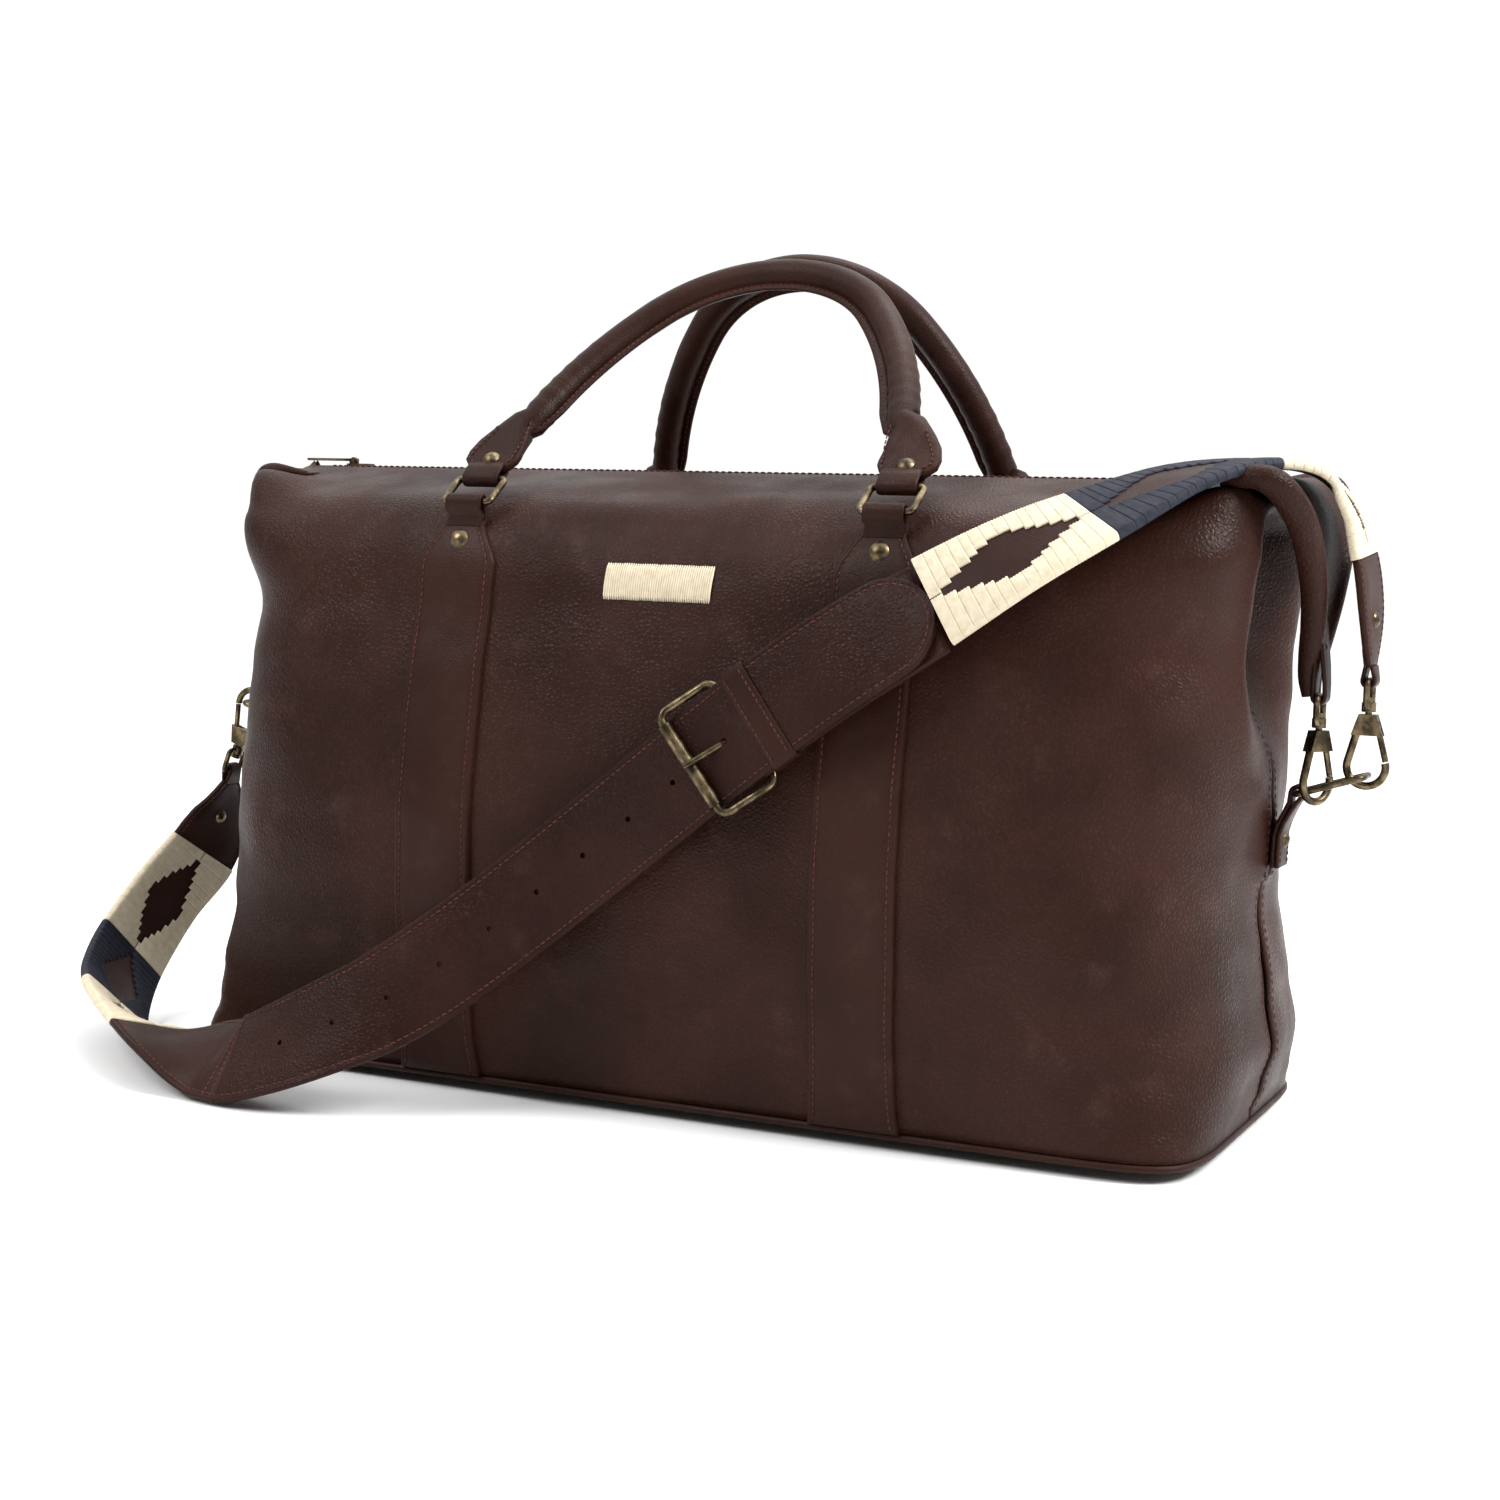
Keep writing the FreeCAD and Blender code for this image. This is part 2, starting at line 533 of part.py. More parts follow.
def hook_parts():
    """Hook body, gate, gate pin and eye, in the hook's own frame."""
    low, high = HOOK_BLOCK_Z
    pivot_x, pivot_z = GATE_PIVOT
    half_t = HOOK_BLOCK_T / 2
    outline = [(-7.5, -half_t, low), (7.5, -half_t, low), (4.2, -half_t, high), (-4.2, -half_t, high)]
    block = prism(outline, (0, HOOK_BLOCK_T, 0))
    slot = box((0.6, -GATE_T / 2 - 0.25, low - 1), (9.0, GATE_T / 2 + 0.25, pivot_z + 3.0))
    pin_bore = cylinder((pivot_x, -5, pivot_z), (pivot_x, 5, pivot_z), PIN_R)
    post = cylinder((0, 0, high - 0.5), (0, 0, high + 7.0), HOOK_POST_R)
    head = cylinder((0, 0, high + 6.6), (0, 0, high + 8.2), HOOK_POST_R + 1.1)
    body = fuse([block, hook_ring(), post, head]).cut(slot).cut(pin_bore)
    pin = cylinder((pivot_x, -half_t, pivot_z), (pivot_x, half_t, pivot_z), PIN_R)
    knuckle = cylinder((pivot_x, -GATE_T / 2, pivot_z), (pivot_x, GATE_T / 2, pivot_z), 2.3)
    tip = (9.0, 0, 13.9)
    bar = cylinder((5.6, 0, 26.5), tip, GATE_R)
    root = cylinder((pivot_x, 0, pivot_z), (5.8, 0, 25.5), 0.95)
    gate_bore = cylinder((pivot_x, -5, pivot_z), (pivot_x, 5, pivot_z), PIN_R + 0.12)
    gate = fuse([knuckle, root, bar]).cut(gate_bore)
    gate = gate.cut(box((-10, -5, 25), (10, -GATE_T / 2, 35))).cut(box((-10, GATE_T / 2, 25), (10, 5, 35)))
    boss = cylinder((0, 0, high + 1.2), (0, 0, high + 5.6), 3.4)
    eye_low = high + 3.4
    eye_h = HOOK_EYE_Z - eye_low
    frame = rounded_plan(HOOK_EYE_W / 2, eye_h / 2, HOOK_EYE_CORNER_R, 0)
    circle = Part.Wire(Part.makeCircle(HOOK_EYE_R, V(0, eye_h / 2, 0), V(1, 0, 0)))
    eye = frame.makePipeShell([circle], True, True)
    eye.rotate(V(0, 0, 0), V(1, 0, 0), 90)
    eye.rotate(V(0, 0, 0), V(0, 0, 1), 90)
    eye.translate(V(0, 0, eye_low + eye_h / 2))
    eye = fuse([eye, boss]).cut(cylinder((0, 0, high), (0, 0, high + 8), HOOK_POST_R + SWIVEL_GAP))
    return {"body": body, "gate": gate, "pin": pin, "eye": eye}


def placed_hook(parts, place, turn, lean):
    """Copies of a hook's pieces: all but the eye are turned about the post, then all lean about Y."""
    result = {}
    for name, shape in parts.items():
        copy = shape.copy()
        if name != "eye":
            copy.rotate(V(0, 0, 0), V(0, 0, 1), turn)
        copy.rotate(V(0, 0, 0), V(0, 1, 0), lean)
        copy.translate(V(*place))
        result[name] = copy
    return result


# ---------------------------------------------------------------- shoulder strap

# Route of the strap from the right hook to the left one: its centre, and the direction across it.
ROUTE = [
    ((322, 3, 232), (0.0, 1.0, 0.0)),
    ((321, 3, 258), (0.0, 1.0, 0.0)),
    ((317, 2, 284), (0.0, 1.0, 0.0)),
    ((309, -1, 306), (-0.08, 0.99, 0.0)),
    ((294, -10, 322), (-0.22, 0.97, 0.0)),
    ((270, -32, 325), (-0.42, 0.90, 0.02)),
    ((245, -64, 318), (-0.60, 0.79, 0.14)),
    ((214, -98, 299), (-0.72, 0.60, 0.34)),
    ((182, -116, 280), (-0.72, 0.48, 0.49)),
    ((150, -127, 259), (-0.70, 0.34, 0.62)),
    ((113, -133, 235), (-0.66, 0.18, 0.73)),
    ((75, -136, 208), (-0.62, 0.08, 0.78)),
    ((37, -136, 178), (-0.60, 0.04, 0.80)),
    ((-8, -138, 141), (-0.63, 0.00, 0.77)),
    ((-55, -148, 101), (-0.64, -0.03, 0.77)),
    ((-86, -165, 74), (-0.60, -0.05, 0.80)),
    ((-110, -179, 56), (-0.56, 0.14, 0.82)),
    ((-129, -186, 46), (-0.50, 0.31, 0.80)),
    ((-159, -192, 32), (-0.35, 0.52, 0.78)),
    ((-189, -190, 21), (-0.06, 0.65, 0.76)),
    ((-207, -184, 20), (0.22, 0.77, 0.60)),
    ((-235, -174, 23), (0.39, 0.91, 0.14)),
    ((-262, -160, 22), (0.47, 0.85, -0.26)),
    ((-298, -138, 20), (0.47, 0.64, -0.61)),
    ((-323, -117, 20), (0.46, 0.54, -0.70)),
    ((-344, -92, 24), (0.44, 0.52, -0.74)),
    ((-362, -57, 38), (0.31, 0.61, -0.72)),
    ((-361, -26, 66), (0.18, 0.69, -0.70)),
    ((-351, -6, 90), (0.18, 0.76, -0.62)),
    ((-344, 1, 113), (0.10, 0.95, -0.24)),
    ((-338, 3, 132), (0.0, 1.0, 0.0)),
]
# Stations where one piece of the strap ends and the next begins
RIGHT_END, CREAM_1, NAVY_1, CREAM_2, ANCHOR, ROLLER = 0, 2, 5, 7, 9, 12
SEAM, CREAM_3, NAVY_2, CREAM_4, LEFT_END, LAST = 19, 22, 24, 26, 28, 30


def spline(a, b, c, d, t):
    """Value between b and c on the smooth curve through four stations."""
    square = 2 * a - 5 * b + 4 * c - d
    cube = 3 * b - a - 3 * c + d
    return 0.5 * (2 * b + (c - a) * t + square * t ** 2 + cube * t ** 3)


def strap_frames():
    """Centre, along, across and outward directions at closely spaced sections of the strap."""
    values = [list(c) + list(a) for c, a in ROUTE]
    padded = [[2 * p - q for p, q in zip(values[0], values[1])]] + values
    padded.append([2 * p - q for p, q in zip(values[-1], values[-2])])
    rows = []
    for i in range(1, len(padded) - 2):
        for k in range(STRAP_STEPS):
            t = k / STRAP_STEPS
            rows.append([spline(a, b, c, d, t) for a, b, c, d in zip(*padded[i - 1:i + 3])])
    rows.append(values[-1])
    frames = []
    for i, row in enumerate(rows):
        before, after = rows[max(i - 1, 0)], rows[min(i + 1, len(rows) - 1)]
        along = (V(*after[:3]) - V(*before[:3])).normalize()
        across = V(*row[3:])
        across = (across - along * across.dot(along)).normalize()
        out = across.cross(along)
        lowest = abs(across.z) * STRAP_W / 2 + abs(out.z) * WOVEN_T / 2 + FLOOR_GAP
        frames.append((V(row[0], row[1], max(row[2], lowest)), along, across, out))
    return frames


def between(frames, first, last):
    """The sections from one station to another."""
    return frames[first * STRAP_STEPS:last * STRAP_STEPS + 1]


def strap_length(frames):
    """Length of a strap's centre line."""
    return sum((b[0] - a[0]).Length for a, b in zip(frames, frames[1:]))


def at_distance(frames, distance):
    """Centre and directions at a distance along the strap."""
    walked = 0.0
    for a, b in zip(frames, frames[1:]):
        step = (b[0] - a[0]).Length
        if walked + step >= distance:
            share = (distance - walked) / step
            return [p + (q - p) * share for p, q in zip(a, b)]
        walked += step
    return list(frames[-1])


def strap_solid(frames, thickness, width_at=None, lift=0.0):
    """Flat strap lofted through its sections; lift moves it along its outward face."""
    wires = []
    walked = 0.0
    for i, (centre, along, across, out) in enumerate(frames):
        if i:
            walked += (centre - frames[i - 1][0]).Length
        half_w = (width_at(walked) if width_at else STRAP_W) / 2
        low, high = lift - thickness / 2, lift + thickness / 2
        signs = ((-1, low), (1, low), (1, high), (-1, high))
        corners = [centre + across * (side * half_w) + out * t for side, t in signs]
        wires.append(Part.makePolygon(corners + corners[:1]))
    return Part.makeLoft(wires, True, True)


def in_frame(shape, frame):
    """Moves a shape from buckle axes (X towards the tip, Y across, Z outwards) to the strap."""
    centre, along, across, out = frame
    turn = FreeCAD.Rotation(along * -1, across, out, "XYZ")
    shape.Placement = FreeCAD.Placement(centre, turn).multiply(shape.Placement)
    return shape


def end_width(walked):
    """Width of a strap end: narrow at its hook, full at the taper's end."""
    share = min(1.0, walked / STRAP_TAPER)
    return STRAP_END_W + (STRAP_W - 1 - STRAP_END_W) * math.sin(share * math.pi / 2)


def tip_width(walked):
    """Width near the billet's round tip."""
    radius = STRAP_W / 2
    inside = min(walked + 3.0, radius)
    return 2 * math.sqrt(radius ** 2 - (radius - inside) ** 2)


def strap_end(frames, eye):
    """Leather end of the strap, folded round its hook's eye."""
    leather = strap_solid(frames, LEATHER_STRAP_T, end_width)
    half = TAB_LOOP_W / 2
    ex, ey, ez = eye
    near = frames[1][0]
    loop = cylinder((ex, ey - half, ez), (ex, ey + half, ez), HOOK_EYE_R + 0.3 + TAB_LEATHER)
    neck = prism([(ex - 1.5, ey - half, ez), (ex + 1.5, ey - half, ez), (near.x + 1.5, ey - half, near.z),
                  (near.x - 1.5, ey - half, near.z)], (0, TAB_LOOP_W, 0))
    bore = cylinder((ex, ey - 30, ez), (ex, ey + 30, ez), HOOK_EYE_R + 0.3)
    spot = at_distance(frames, 22.0)
    out = spot[3]
    face = spot[0] + out * (LEATHER_STRAP_T / 2 - 0.2)
    rivet = domed_rivet(tuple(face), tuple(out), 4.2, 2.4, LEATHER_STRAP_T - 1.0)
    return fuse([leather, neck, loop]).cut(bore).cut(rivet), rivet


def buckle_parts(place):
    """Frame, roller and prong, and the slot that the prong needs in the billet."""
    rise = ROLLER_LIFT - HEEL_LIFT
    run = math.hypot(BUCKLE_LENGTH, rise)
    slope = math.degrees(math.atan2(rise, BUCKLE_LENGTH))
    plan = rounded_plan(run / 2, BUCKLE_HALF_W, 5.0, 0)
    circle = Part.Wire(Part.makeCircle(BUCKLE_WIRE_R, V(0, BUCKLE_HALF_W, 0), V(1, 0, 0)))
    frame = plan.makePipeShell([circle], True, True)
    frame.translate(V(run / 2, 0, 0))
    frame.rotate(V(0, 0, 0), V(0, 1, 0), slope)
    frame.translate(V(0, 0, ROLLER_LIFT))
    roller = cylinder((0, -23, ROLLER_LIFT), (0, 23, ROLLER_LIFT), ROLLER_R)
    roller = roller.cut(cylinder((0, -30, ROLLER_LIFT), (0, 30, ROLLER_LIFT), BUCKLE_WIRE_R + 0.15))
    x, z = BUCKLE_LENGTH, HEEL_LIFT
    knuckle = cylinder((x, -2, z), (x, 2, z), 3.6)
    angle = math.radians(PRONG_RISE)
    tip = (x - PRONG_LENGTH * math.cos(angle), 0, z + PRONG_LENGTH * math.sin(angle))
    bar = cylinder((x, 0, z), tip, PRONG_R)
    prong = fuse([knuckle, bar]).cut(cylinder((x, -9, z), (x, 9, z), BUCKLE_WIRE_R + 0.15))
    slot = box((11.5, -2.3, -4), (27.0, 2.3, 4))
    return [in_frame(shape, place) for shape in (frame, roller, prong, slot)]


def anchor_fold(place):
    """Leather folded round the buckle's heel bar, and the notch that leaves room for the prong."""
    x, z = BUCKLE_LENGTH, HEEL_LIFT
    fold = cylinder((x, -STRAP_W / 2, z), (x, STRAP_W / 2, z), 4.3)
    fold = fold.cut(cylinder((x, -30, z), (x, 30, z), BUCKLE_WIRE_R + 0.2))
    notch = box((x - 12, -2.5, z - 12), (x + 5.5, 2.5, 0))
    return in_frame(fold, place), in_frame(notch, place)


def keeper_band(place):
    """Loop of leather round the billet and the anchor."""
    half_w = STRAP_W / 2 + 0.6
    top = LEATHER_STRAP_T / 2 + 0.4
    bottom = ANCHOR_LIFT - LEATHER_STRAP_T / 2 - 0.4
    outer = box((-KEEPER_L / 2, -half_w - KEEPER_T, bottom - KEEPER_T),
                (KEEPER_L / 2, half_w + KEEPER_T, top + KEEPER_T))
    inner = box((-KEEPER_L, -half_w, bottom), (KEEPER_L, half_w, top))
    return in_frame(outer.cut(inner), place)


def cut_at(frames, distance):
    """The sections up to a distance, ended exactly there."""
    kept = [frames[0]]
    walked = 0.0
    for a, b in zip(frames, frames[1:]):
        walked += (b[0] - a[0]).Length
        if walked >= distance - 0.5:
            break
        kept.append(b)
    return kept + [tuple(at_distance(frames, distance))]


def buckle_end(frames):
    """Billet, anchor leather, buckle and keeper."""
    over = between(frames, ANCHOR, ROLLER)
    tail = between(frames, ANCHOR, SEAM)
    place = frames[ROLLER * STRAP_STEPS]
    frame, roller, prong, slot = buckle_parts(place)
    billet = strap_solid(tail, LEATHER_STRAP_T, tip_width).cut(slot)
    for k in range(HOLE_COUNT):
        centre, along, across, out = at_distance(tail, strap_length(over) + FIRST_HOLE + k * HOLE_PITCH)
        billet = billet.cut(Part.makeCylinder(HOLE_R, 8, centre - out * 4, out))
    heel_at = strap_length(over) - BUCKLE_LENGTH
    fold, notch = anchor_fold(place)
    leather = strap_solid(cut_at(over, heel_at - 3.0), LEATHER_STRAP_T, None, ANCHOR_LIFT)
    bore = cylinder((BUCKLE_LENGTH, -40, HEEL_LIFT), (BUCKLE_LENGTH, 40, HEEL_LIFT), BUCKLE_WIRE_R + 0.2)
    bore = in_frame(bore, place)
    save("strap_billet", billet)
    save("strap_anchor", fuse([leather, fold]).cut(notch).cut(bore))
    save("buckle_frame", frame)
    save("buckle_roller", roller)
    save("buckle_prong", prong)
    save("strap_keeper", keeper_band(at_distance(over, strap_length(over) - KEEPER_AT)))


def strap_parts(eyes):
    """The whole shoulder strap."""
    frames = strap_frames()
    buckle_end(frames)
    woven = (("cream_1", CREAM_1, NAVY_1), ("navy_1", NAVY_1, CREAM_2), ("cream_2", CREAM_2, ANCHOR),
             ("cream_3", CREAM_3, NAVY_2), ("navy_2", NAVY_2, CREAM_4), ("cream_4", CREAM_4, LEFT_END))
    for name, first, last in woven:
        save("woven_" + name, strap_solid(between(frames, first, last), WOVEN_T))
    save("strap_lower", strap_solid(between(frames, SEAM, CREAM_3), LEATHER_STRAP_T))
    right, right_rivet = strap_end(between(frames, RIGHT_END, CREAM_1), eyes["right"])
    left_frames = [(c, along * -1, *sides) for c, along, *sides in between(frames, LEFT_END, LAST)]
    left_frames.reverse()
    left, left_rivet = strap_end(left_frames, eyes["left"])
    save("strap_end_right", right)
    save("strap_end_left", left)
    return [right_rivet, left_rivet]


def eye_bar(place, lean):
    """Centre of a hook's eye bar once the hook is placed."""
    angle = math.radians(lean)
    return (place[0] + HOOK_EYE_Z * math.sin(angle), place[1], place[2] + HOOK_EYE_Z * math.cos(angle))


def front_patch():
    """Low raised patch of satin stitching on the front."""
    sheet = Part.Face(body_outline(-1.2)).extrude(V(PATCH_W, 0, 0))
    sheet = sheet.cut(Part.Face(body_outline(-0.1)).extrude(V(PATCH_W, 0, 0)))
    sheet.translate(V(-PATCH_W / 2, 0, 0))
    return sheet.common(box((-100, -200, PATCH_Z - PATCH_H / 2), (100, 0, PATCH_Z + PATCH_H / 2)))


def body_parts():
    """Panels, lining, base and zip."""
    wall = bag_wall(0.0, LEATHER)
    save("front_panel", half(wall, -1))
    save("back_panel", half(wall, 1))
    save("lining", lining())
    save("front_patch", front_patch())
    base_parts()
    zip_parts()


def carrying_parts():
    """Strips, rings and handles, front and back."""
    rivets = []
    for name, bar, ring_tilt, tilt, side in (("front", FRONT_BAR, FRONT_RING_TILT, FRONT_HANDLE_TILT, -1),
                                             ("back", BACK_BAR, BACK_RING_TILT, BACK_HANDLE_TILT, 1)):
        strips = []
        for x in (-STRIP_X, STRIP_X):
            piece = strip(x, (-abs(bar[0]), bar[1]))
            if side > 0:
                piece = mirrored(piece, (0, 1, 0))
            face, out = strip_rivet_place(x, bar, side)
            rivet = domed_rivet(face, out, 5.2, 2.6, STRIP_T - 0.4)
            strips.append(piece.cut(rivet))
            rivets.append(rivet)
        save(name + "_strips", strips)
        save(name + "_rings", [ring(x, bar, ring_tilt) for x in (-STRIP_X, STRIP_X)])
        cover, core, handle_rivets = handle_parts(upper_bar(bar, ring_tilt), tilt, -side)
        save(name + "_handle_cover", cover)
        save(name + "_handle_core", core)
        save(name + "_handle_rivets", handle_rivets)
    save("strip_rivets", rivets)


def end_parts():
    """Wings, tabs, links, hooks and the strap between them."""
    right_wing = wing()
    tab, tab_rivet = end_tab()
    top_tab, top_rivet = wing_tab()
    link = oval_link()
    save("right_wing", right_wing)
    save("left_wing", mirrored(right_wing, (1, 0, 0)))
    save("end_tabs", [tab, mirrored(tab, (1, 0, 0))])
    save("wing_tabs", [top_tab, mirrored(top_tab, (1, 0, 0))])
    save("right_link", link)
    save("left_link", mirrored(link, (1, 0, 0)))
    parts = hook_parts()
    right_wing_hook = placed_hook(parts, WING_HOOK, WING_HOOK_TURN, 0)
    hooks = {
        "right_wing": right_wing_hook,
        "left_wing": {name: mirrored(shape, (1, 0, 0)) for name, shape in right_wing_hook.items()},
        "right_strap": placed_hook(parts, STRAP_HOOK, 0, 0),
        "left_strap": placed_hook(parts, LEFT_STRAP_HOOK, 0, LEFT_HOOK_LEAN),
    }
    for name, pieces in hooks.items():
        for piece in ("body", "gate", "pin"):
            save("%s_hook_%s" % (name, piece), pieces[piece])
    save("hook_eyes", [pieces["eye"] for pieces in hooks.values()])
    eyes = {"right": eye_bar(STRAP_HOOK, 0), "left": eye_bar(LEFT_STRAP_HOOK, LEFT_HOOK_LEAN)}
    strap_rivets = strap_parts(eyes)
    rivets = [tab_rivet, top_rivet]
    save("tab_rivets", rivets + [mirrored(r, (1, 0, 0)) for r in rivets] + strap_rivets)


def main():
    os.makedirs("parts", exist_ok=True)
    body_parts()
    carrying_parts()
    end_parts()


main()
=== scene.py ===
"""Looks of the weekender bag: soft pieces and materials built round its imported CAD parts."""
import json
import math

import bmesh
import bpy
from mathutils import Matrix, Vector, noise


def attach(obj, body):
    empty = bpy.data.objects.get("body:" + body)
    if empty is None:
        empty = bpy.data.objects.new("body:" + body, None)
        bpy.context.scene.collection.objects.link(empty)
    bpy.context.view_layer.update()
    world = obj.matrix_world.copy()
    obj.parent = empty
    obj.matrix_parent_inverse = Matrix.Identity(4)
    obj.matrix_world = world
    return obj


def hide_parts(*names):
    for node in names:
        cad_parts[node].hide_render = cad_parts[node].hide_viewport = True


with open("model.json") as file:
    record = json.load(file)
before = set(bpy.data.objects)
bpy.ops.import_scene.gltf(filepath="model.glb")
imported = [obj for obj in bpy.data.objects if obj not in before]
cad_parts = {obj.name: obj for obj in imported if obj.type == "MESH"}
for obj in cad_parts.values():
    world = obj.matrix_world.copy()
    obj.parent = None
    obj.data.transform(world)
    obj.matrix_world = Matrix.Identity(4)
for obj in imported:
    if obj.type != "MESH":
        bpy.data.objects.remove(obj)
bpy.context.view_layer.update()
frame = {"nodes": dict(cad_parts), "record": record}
nodes = frame["nodes"]
MM = 0.001


# ---- small helpers

def smooth(low, high, value):
    """0 below low, 1 above high, smooth between."""
    t = min(1.0, max(0.0, (value - low) / (high - low)))
    return t * t * (3 - 2 * t)


def lerp_table(table, key):
    """Value read between the rows of a (key, value) table, smoothed at the rows."""
    if key <= table[0][0]:
        return table[0][1]
    for (a, va), (b, vb) in zip(table, table[1:]):
        if key <= b:
            return va + (vb - va) * smooth(a, b, key)
    return table[-1][1]


def face_outwards(mesh):
    """Turns every face of a closed mesh outwards."""
    work = bmesh.new()
    work.from_mesh(mesh)
    bmesh.ops.recalc_face_normals(work, faces=work.faces)
    work.to_mesh(mesh)
    work.free()


def new_mesh(name, verts, faces):
    """Mesh from points in millimetres."""
    mesh = bpy.data.meshes.new(name)
    mesh.from_pydata([tuple(c * MM for c in v) for v in verts], [], faces)
    return mesh


def add_piece(name, verts, faces, material, body="root", stands_for=(), slot="leather"):
    """Smooth mesh piece from points in millimetres, riding on a body."""
    mesh = new_mesh(name, verts, faces)
    mesh.validate()
    face_outwards(mesh)
    mesh.polygons.foreach_set("use_smooth", [True] * len(mesh.polygons))
    mesh.materials.append(material)
    mesh.update()
    obj = bpy.data.objects.new(name, mesh)
    bpy.context.scene.collection.objects.link(obj)
    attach(obj, body)
    if stands_for:
        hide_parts(*stands_for)
    return obj


def closed_sheet(top, bottom):
    """Points and faces of a sheet between two grids of the same size, closed round its rim."""
    rows, cols = len(top), len(top[0])
    verts = [p for row in top for p in row] + [p for row in bottom for p in row]
    size = rows * cols
    faces = []
    for i in range(rows - 1):
        for j in range(cols - 1):
            a = i * cols + j
            faces.append((a, a + 1, a + cols + 1, a + cols))
            faces.append((size + a, size + a + cols, size + a + cols + 1, size + a + 1))
    rim = [(i, 0) for i in range(rows)] + [(rows - 1, j) for j in range(1, cols)]
    rim += [(i, cols - 1) for i in range(rows - 2, -1, -1)] + [(0, j) for j in range(cols - 2, 0, -1)]
    for (i, j), (k, m) in zip(rim, rim[1:] + rim[:1]):
        a, b = i * cols + j, k * cols + m
        faces.append((a, b, size + b, size + a))
    return verts, faces


def loft(loops, closed=False):
    """Points and faces of a solid through loops of points, capped unless it closes on itself."""
    count = len(loops[0])
    verts = [p for loop in loops for p in loop]
    faces = []
    spans = len(loops) if closed else len(loops) - 1
    for i in range(spans):
        a, b = i * count, ((i + 1) % len(loops)) * count
        for j in range(count):
            k = (j + 1) % count
            faces.append((a + j, a + k, b + k, b + j))
    if not closed:
        faces.append(tuple(range(count - 1, -1, -1)))
        last = (len(loops) - 1) * count
        faces.append(tuple(last + j for j in range(count)))
    return verts, faces


def joined(parts):
    """One mesh's points and faces from several."""
    verts, faces = [], []
    for v, f in parts:
        start = len(verts)
        verts += v
        faces += [tuple(start + i for i in face) for face in f]
    return verts, faces


def grid_normals(grid):
    """Unit normals of a grid of points."""
    rows, cols = len(grid), len(grid[0])
    result = []
    for i in range(rows):
        row = []
        for j in range(cols):
            down = grid[min(i + 1, rows - 1)][j] - grid[max(i - 1, 0)][j]
            along = grid[i][min(j + 1, cols - 1)] - grid[i][max(j - 1, 0)]
            row.append(along.cross(down).normalized())
        result.append(row)
    return result


def path_frames(points, across):
    """(centre, along, across, out) at each point of a path; across is kept square to the path."""
    frames = []
    for i, point in enumerate(points):
        along = (points[min(i + 1, len(points) - 1)] - points[max(i - 1, 0)]).normalized()
        side = across[i] if isinstance(across, list) else across
        side = (side - along * side.dot(along)).normalized()
        frames.append((point, along, side, side.cross(along)))
    return frames


def strap_section(half_w, half_t, crown=0.15, channel=0.25):
    """Outline of flat leather across its width: rounded edges and a stitch channel on the face."""
    edge = min(1.3, half_w * 0.2)
    rise = [(-half_w, 0.0), (-half_w + 0.2 * edge, 0.62 * half_t), (-half_w + 0.6 * edge, 0.92 * half_t),
            (-half_w + edge, half_t), (-half_w + 2.6, half_t), (-half_w + 3.3, half_t - channel),
            (-half_w + 4.0, half_t), (-half_w * 0.4, half_t + crown)]
    if half_w < 7:
        rise = rise[:4] + [(-half_w * u, half_t + crown * (1 - u) * 0.8) for u in (0.7, 0.6, 0.5, 0.3)]
    top = rise + [(-x, z) for x, z in rise[::-1]]
    bottom = [(half_w - 0.3 * edge, -0.7 * half_t), (half_w - edge, -half_t), (0.0, -half_t),
              (-half_w + edge, -half_t), (-half_w + 0.3 * edge, -0.7 * half_t)]
    return top + bottom


def ribbon(frames, half_w, half_t, crown=0.15, channel=0.25):
    """Flat leather along frames; half_w may be a function of the section's number."""
    loops = []
    for i, (centre, _, across, out) in enumerate(frames):
        section = strap_section(half_w(i) if callable(half_w) else half_w, half_t, crown, channel)
        loops.append([centre + across * x + out * z for x, z in section])
    return loft(loops)


def tube(points, radius, sides=12, closed=False):
    """Round bar along points; radius may be a function of the point's number."""
    loops = []
    side = None
    for i, point in enumerate(points):
        if closed:
            along = (points[(i + 1) % len(points)] - points[i - 1]).normalized()
        else:
            along = (points[min(i + 1, len(points) - 1)] - points[max(i - 1, 0)]).normalized()
        if side is None:
            side = along.orthogonal().normalized()
        side = (side - along * side.dot(along)).normalized()
        up = along.cross(side)
        r = radius(i) if callable(radius) else radius
        loops.append([point + side * (r * math.cos(a)) + up * (r * math.sin(a))
                      for a in (2 * math.pi * k / sides for k in range(sides))])
    return loft(loops, closed)


def walk(points, normals, pitch):
    """(point, direction, normal) at even steps along a path."""
    result = []
    left = pitch / 2
    for a, b, na, nb in zip(points, points[1:], normals, normals[1:]):
        span = (b - a).length
        while left <= span and span > 0:
            t = left / span
            result.append((a.lerp(b, t), (b - a).normalized(), na.lerp(nb, t).normalized()))
            left += pitch
        left -= span
    return result


STITCH_SHAPE = ((-0.5, 0.45, -0.25), (-0.3, 0.95, 0.1), (0.0, 1.0, 0.22), (0.3, 0.95, 0.1),
                (0.5, 0.45, -0.25))          # along the thread, thickness, height


def stitches(points, normals, pitch=3.4, length=2.5, radius=0.42, sink=0.12):
    """A row of thread stitches lying on a surface along a path, each a tapered bead of thread."""
    parts = []
    for spot, along, out in walk(points, normals, pitch):
        side = along.cross(out).normalized()
        centre = spot - out * sink
        loops = []
        for s, r, h in STITCH_SHAPE:
            mid = centre + along * (s * length) + out * (h * radius) + side * (s * 0.5 * radius)
            loops.append([mid + side * (radius * r * math.cos(a)) + out * (radius * r * math.sin(a))
                          for a in (math.pi * k / 3 for k in range(6))])
        parts.append(loft(loops))
    return joined(parts)


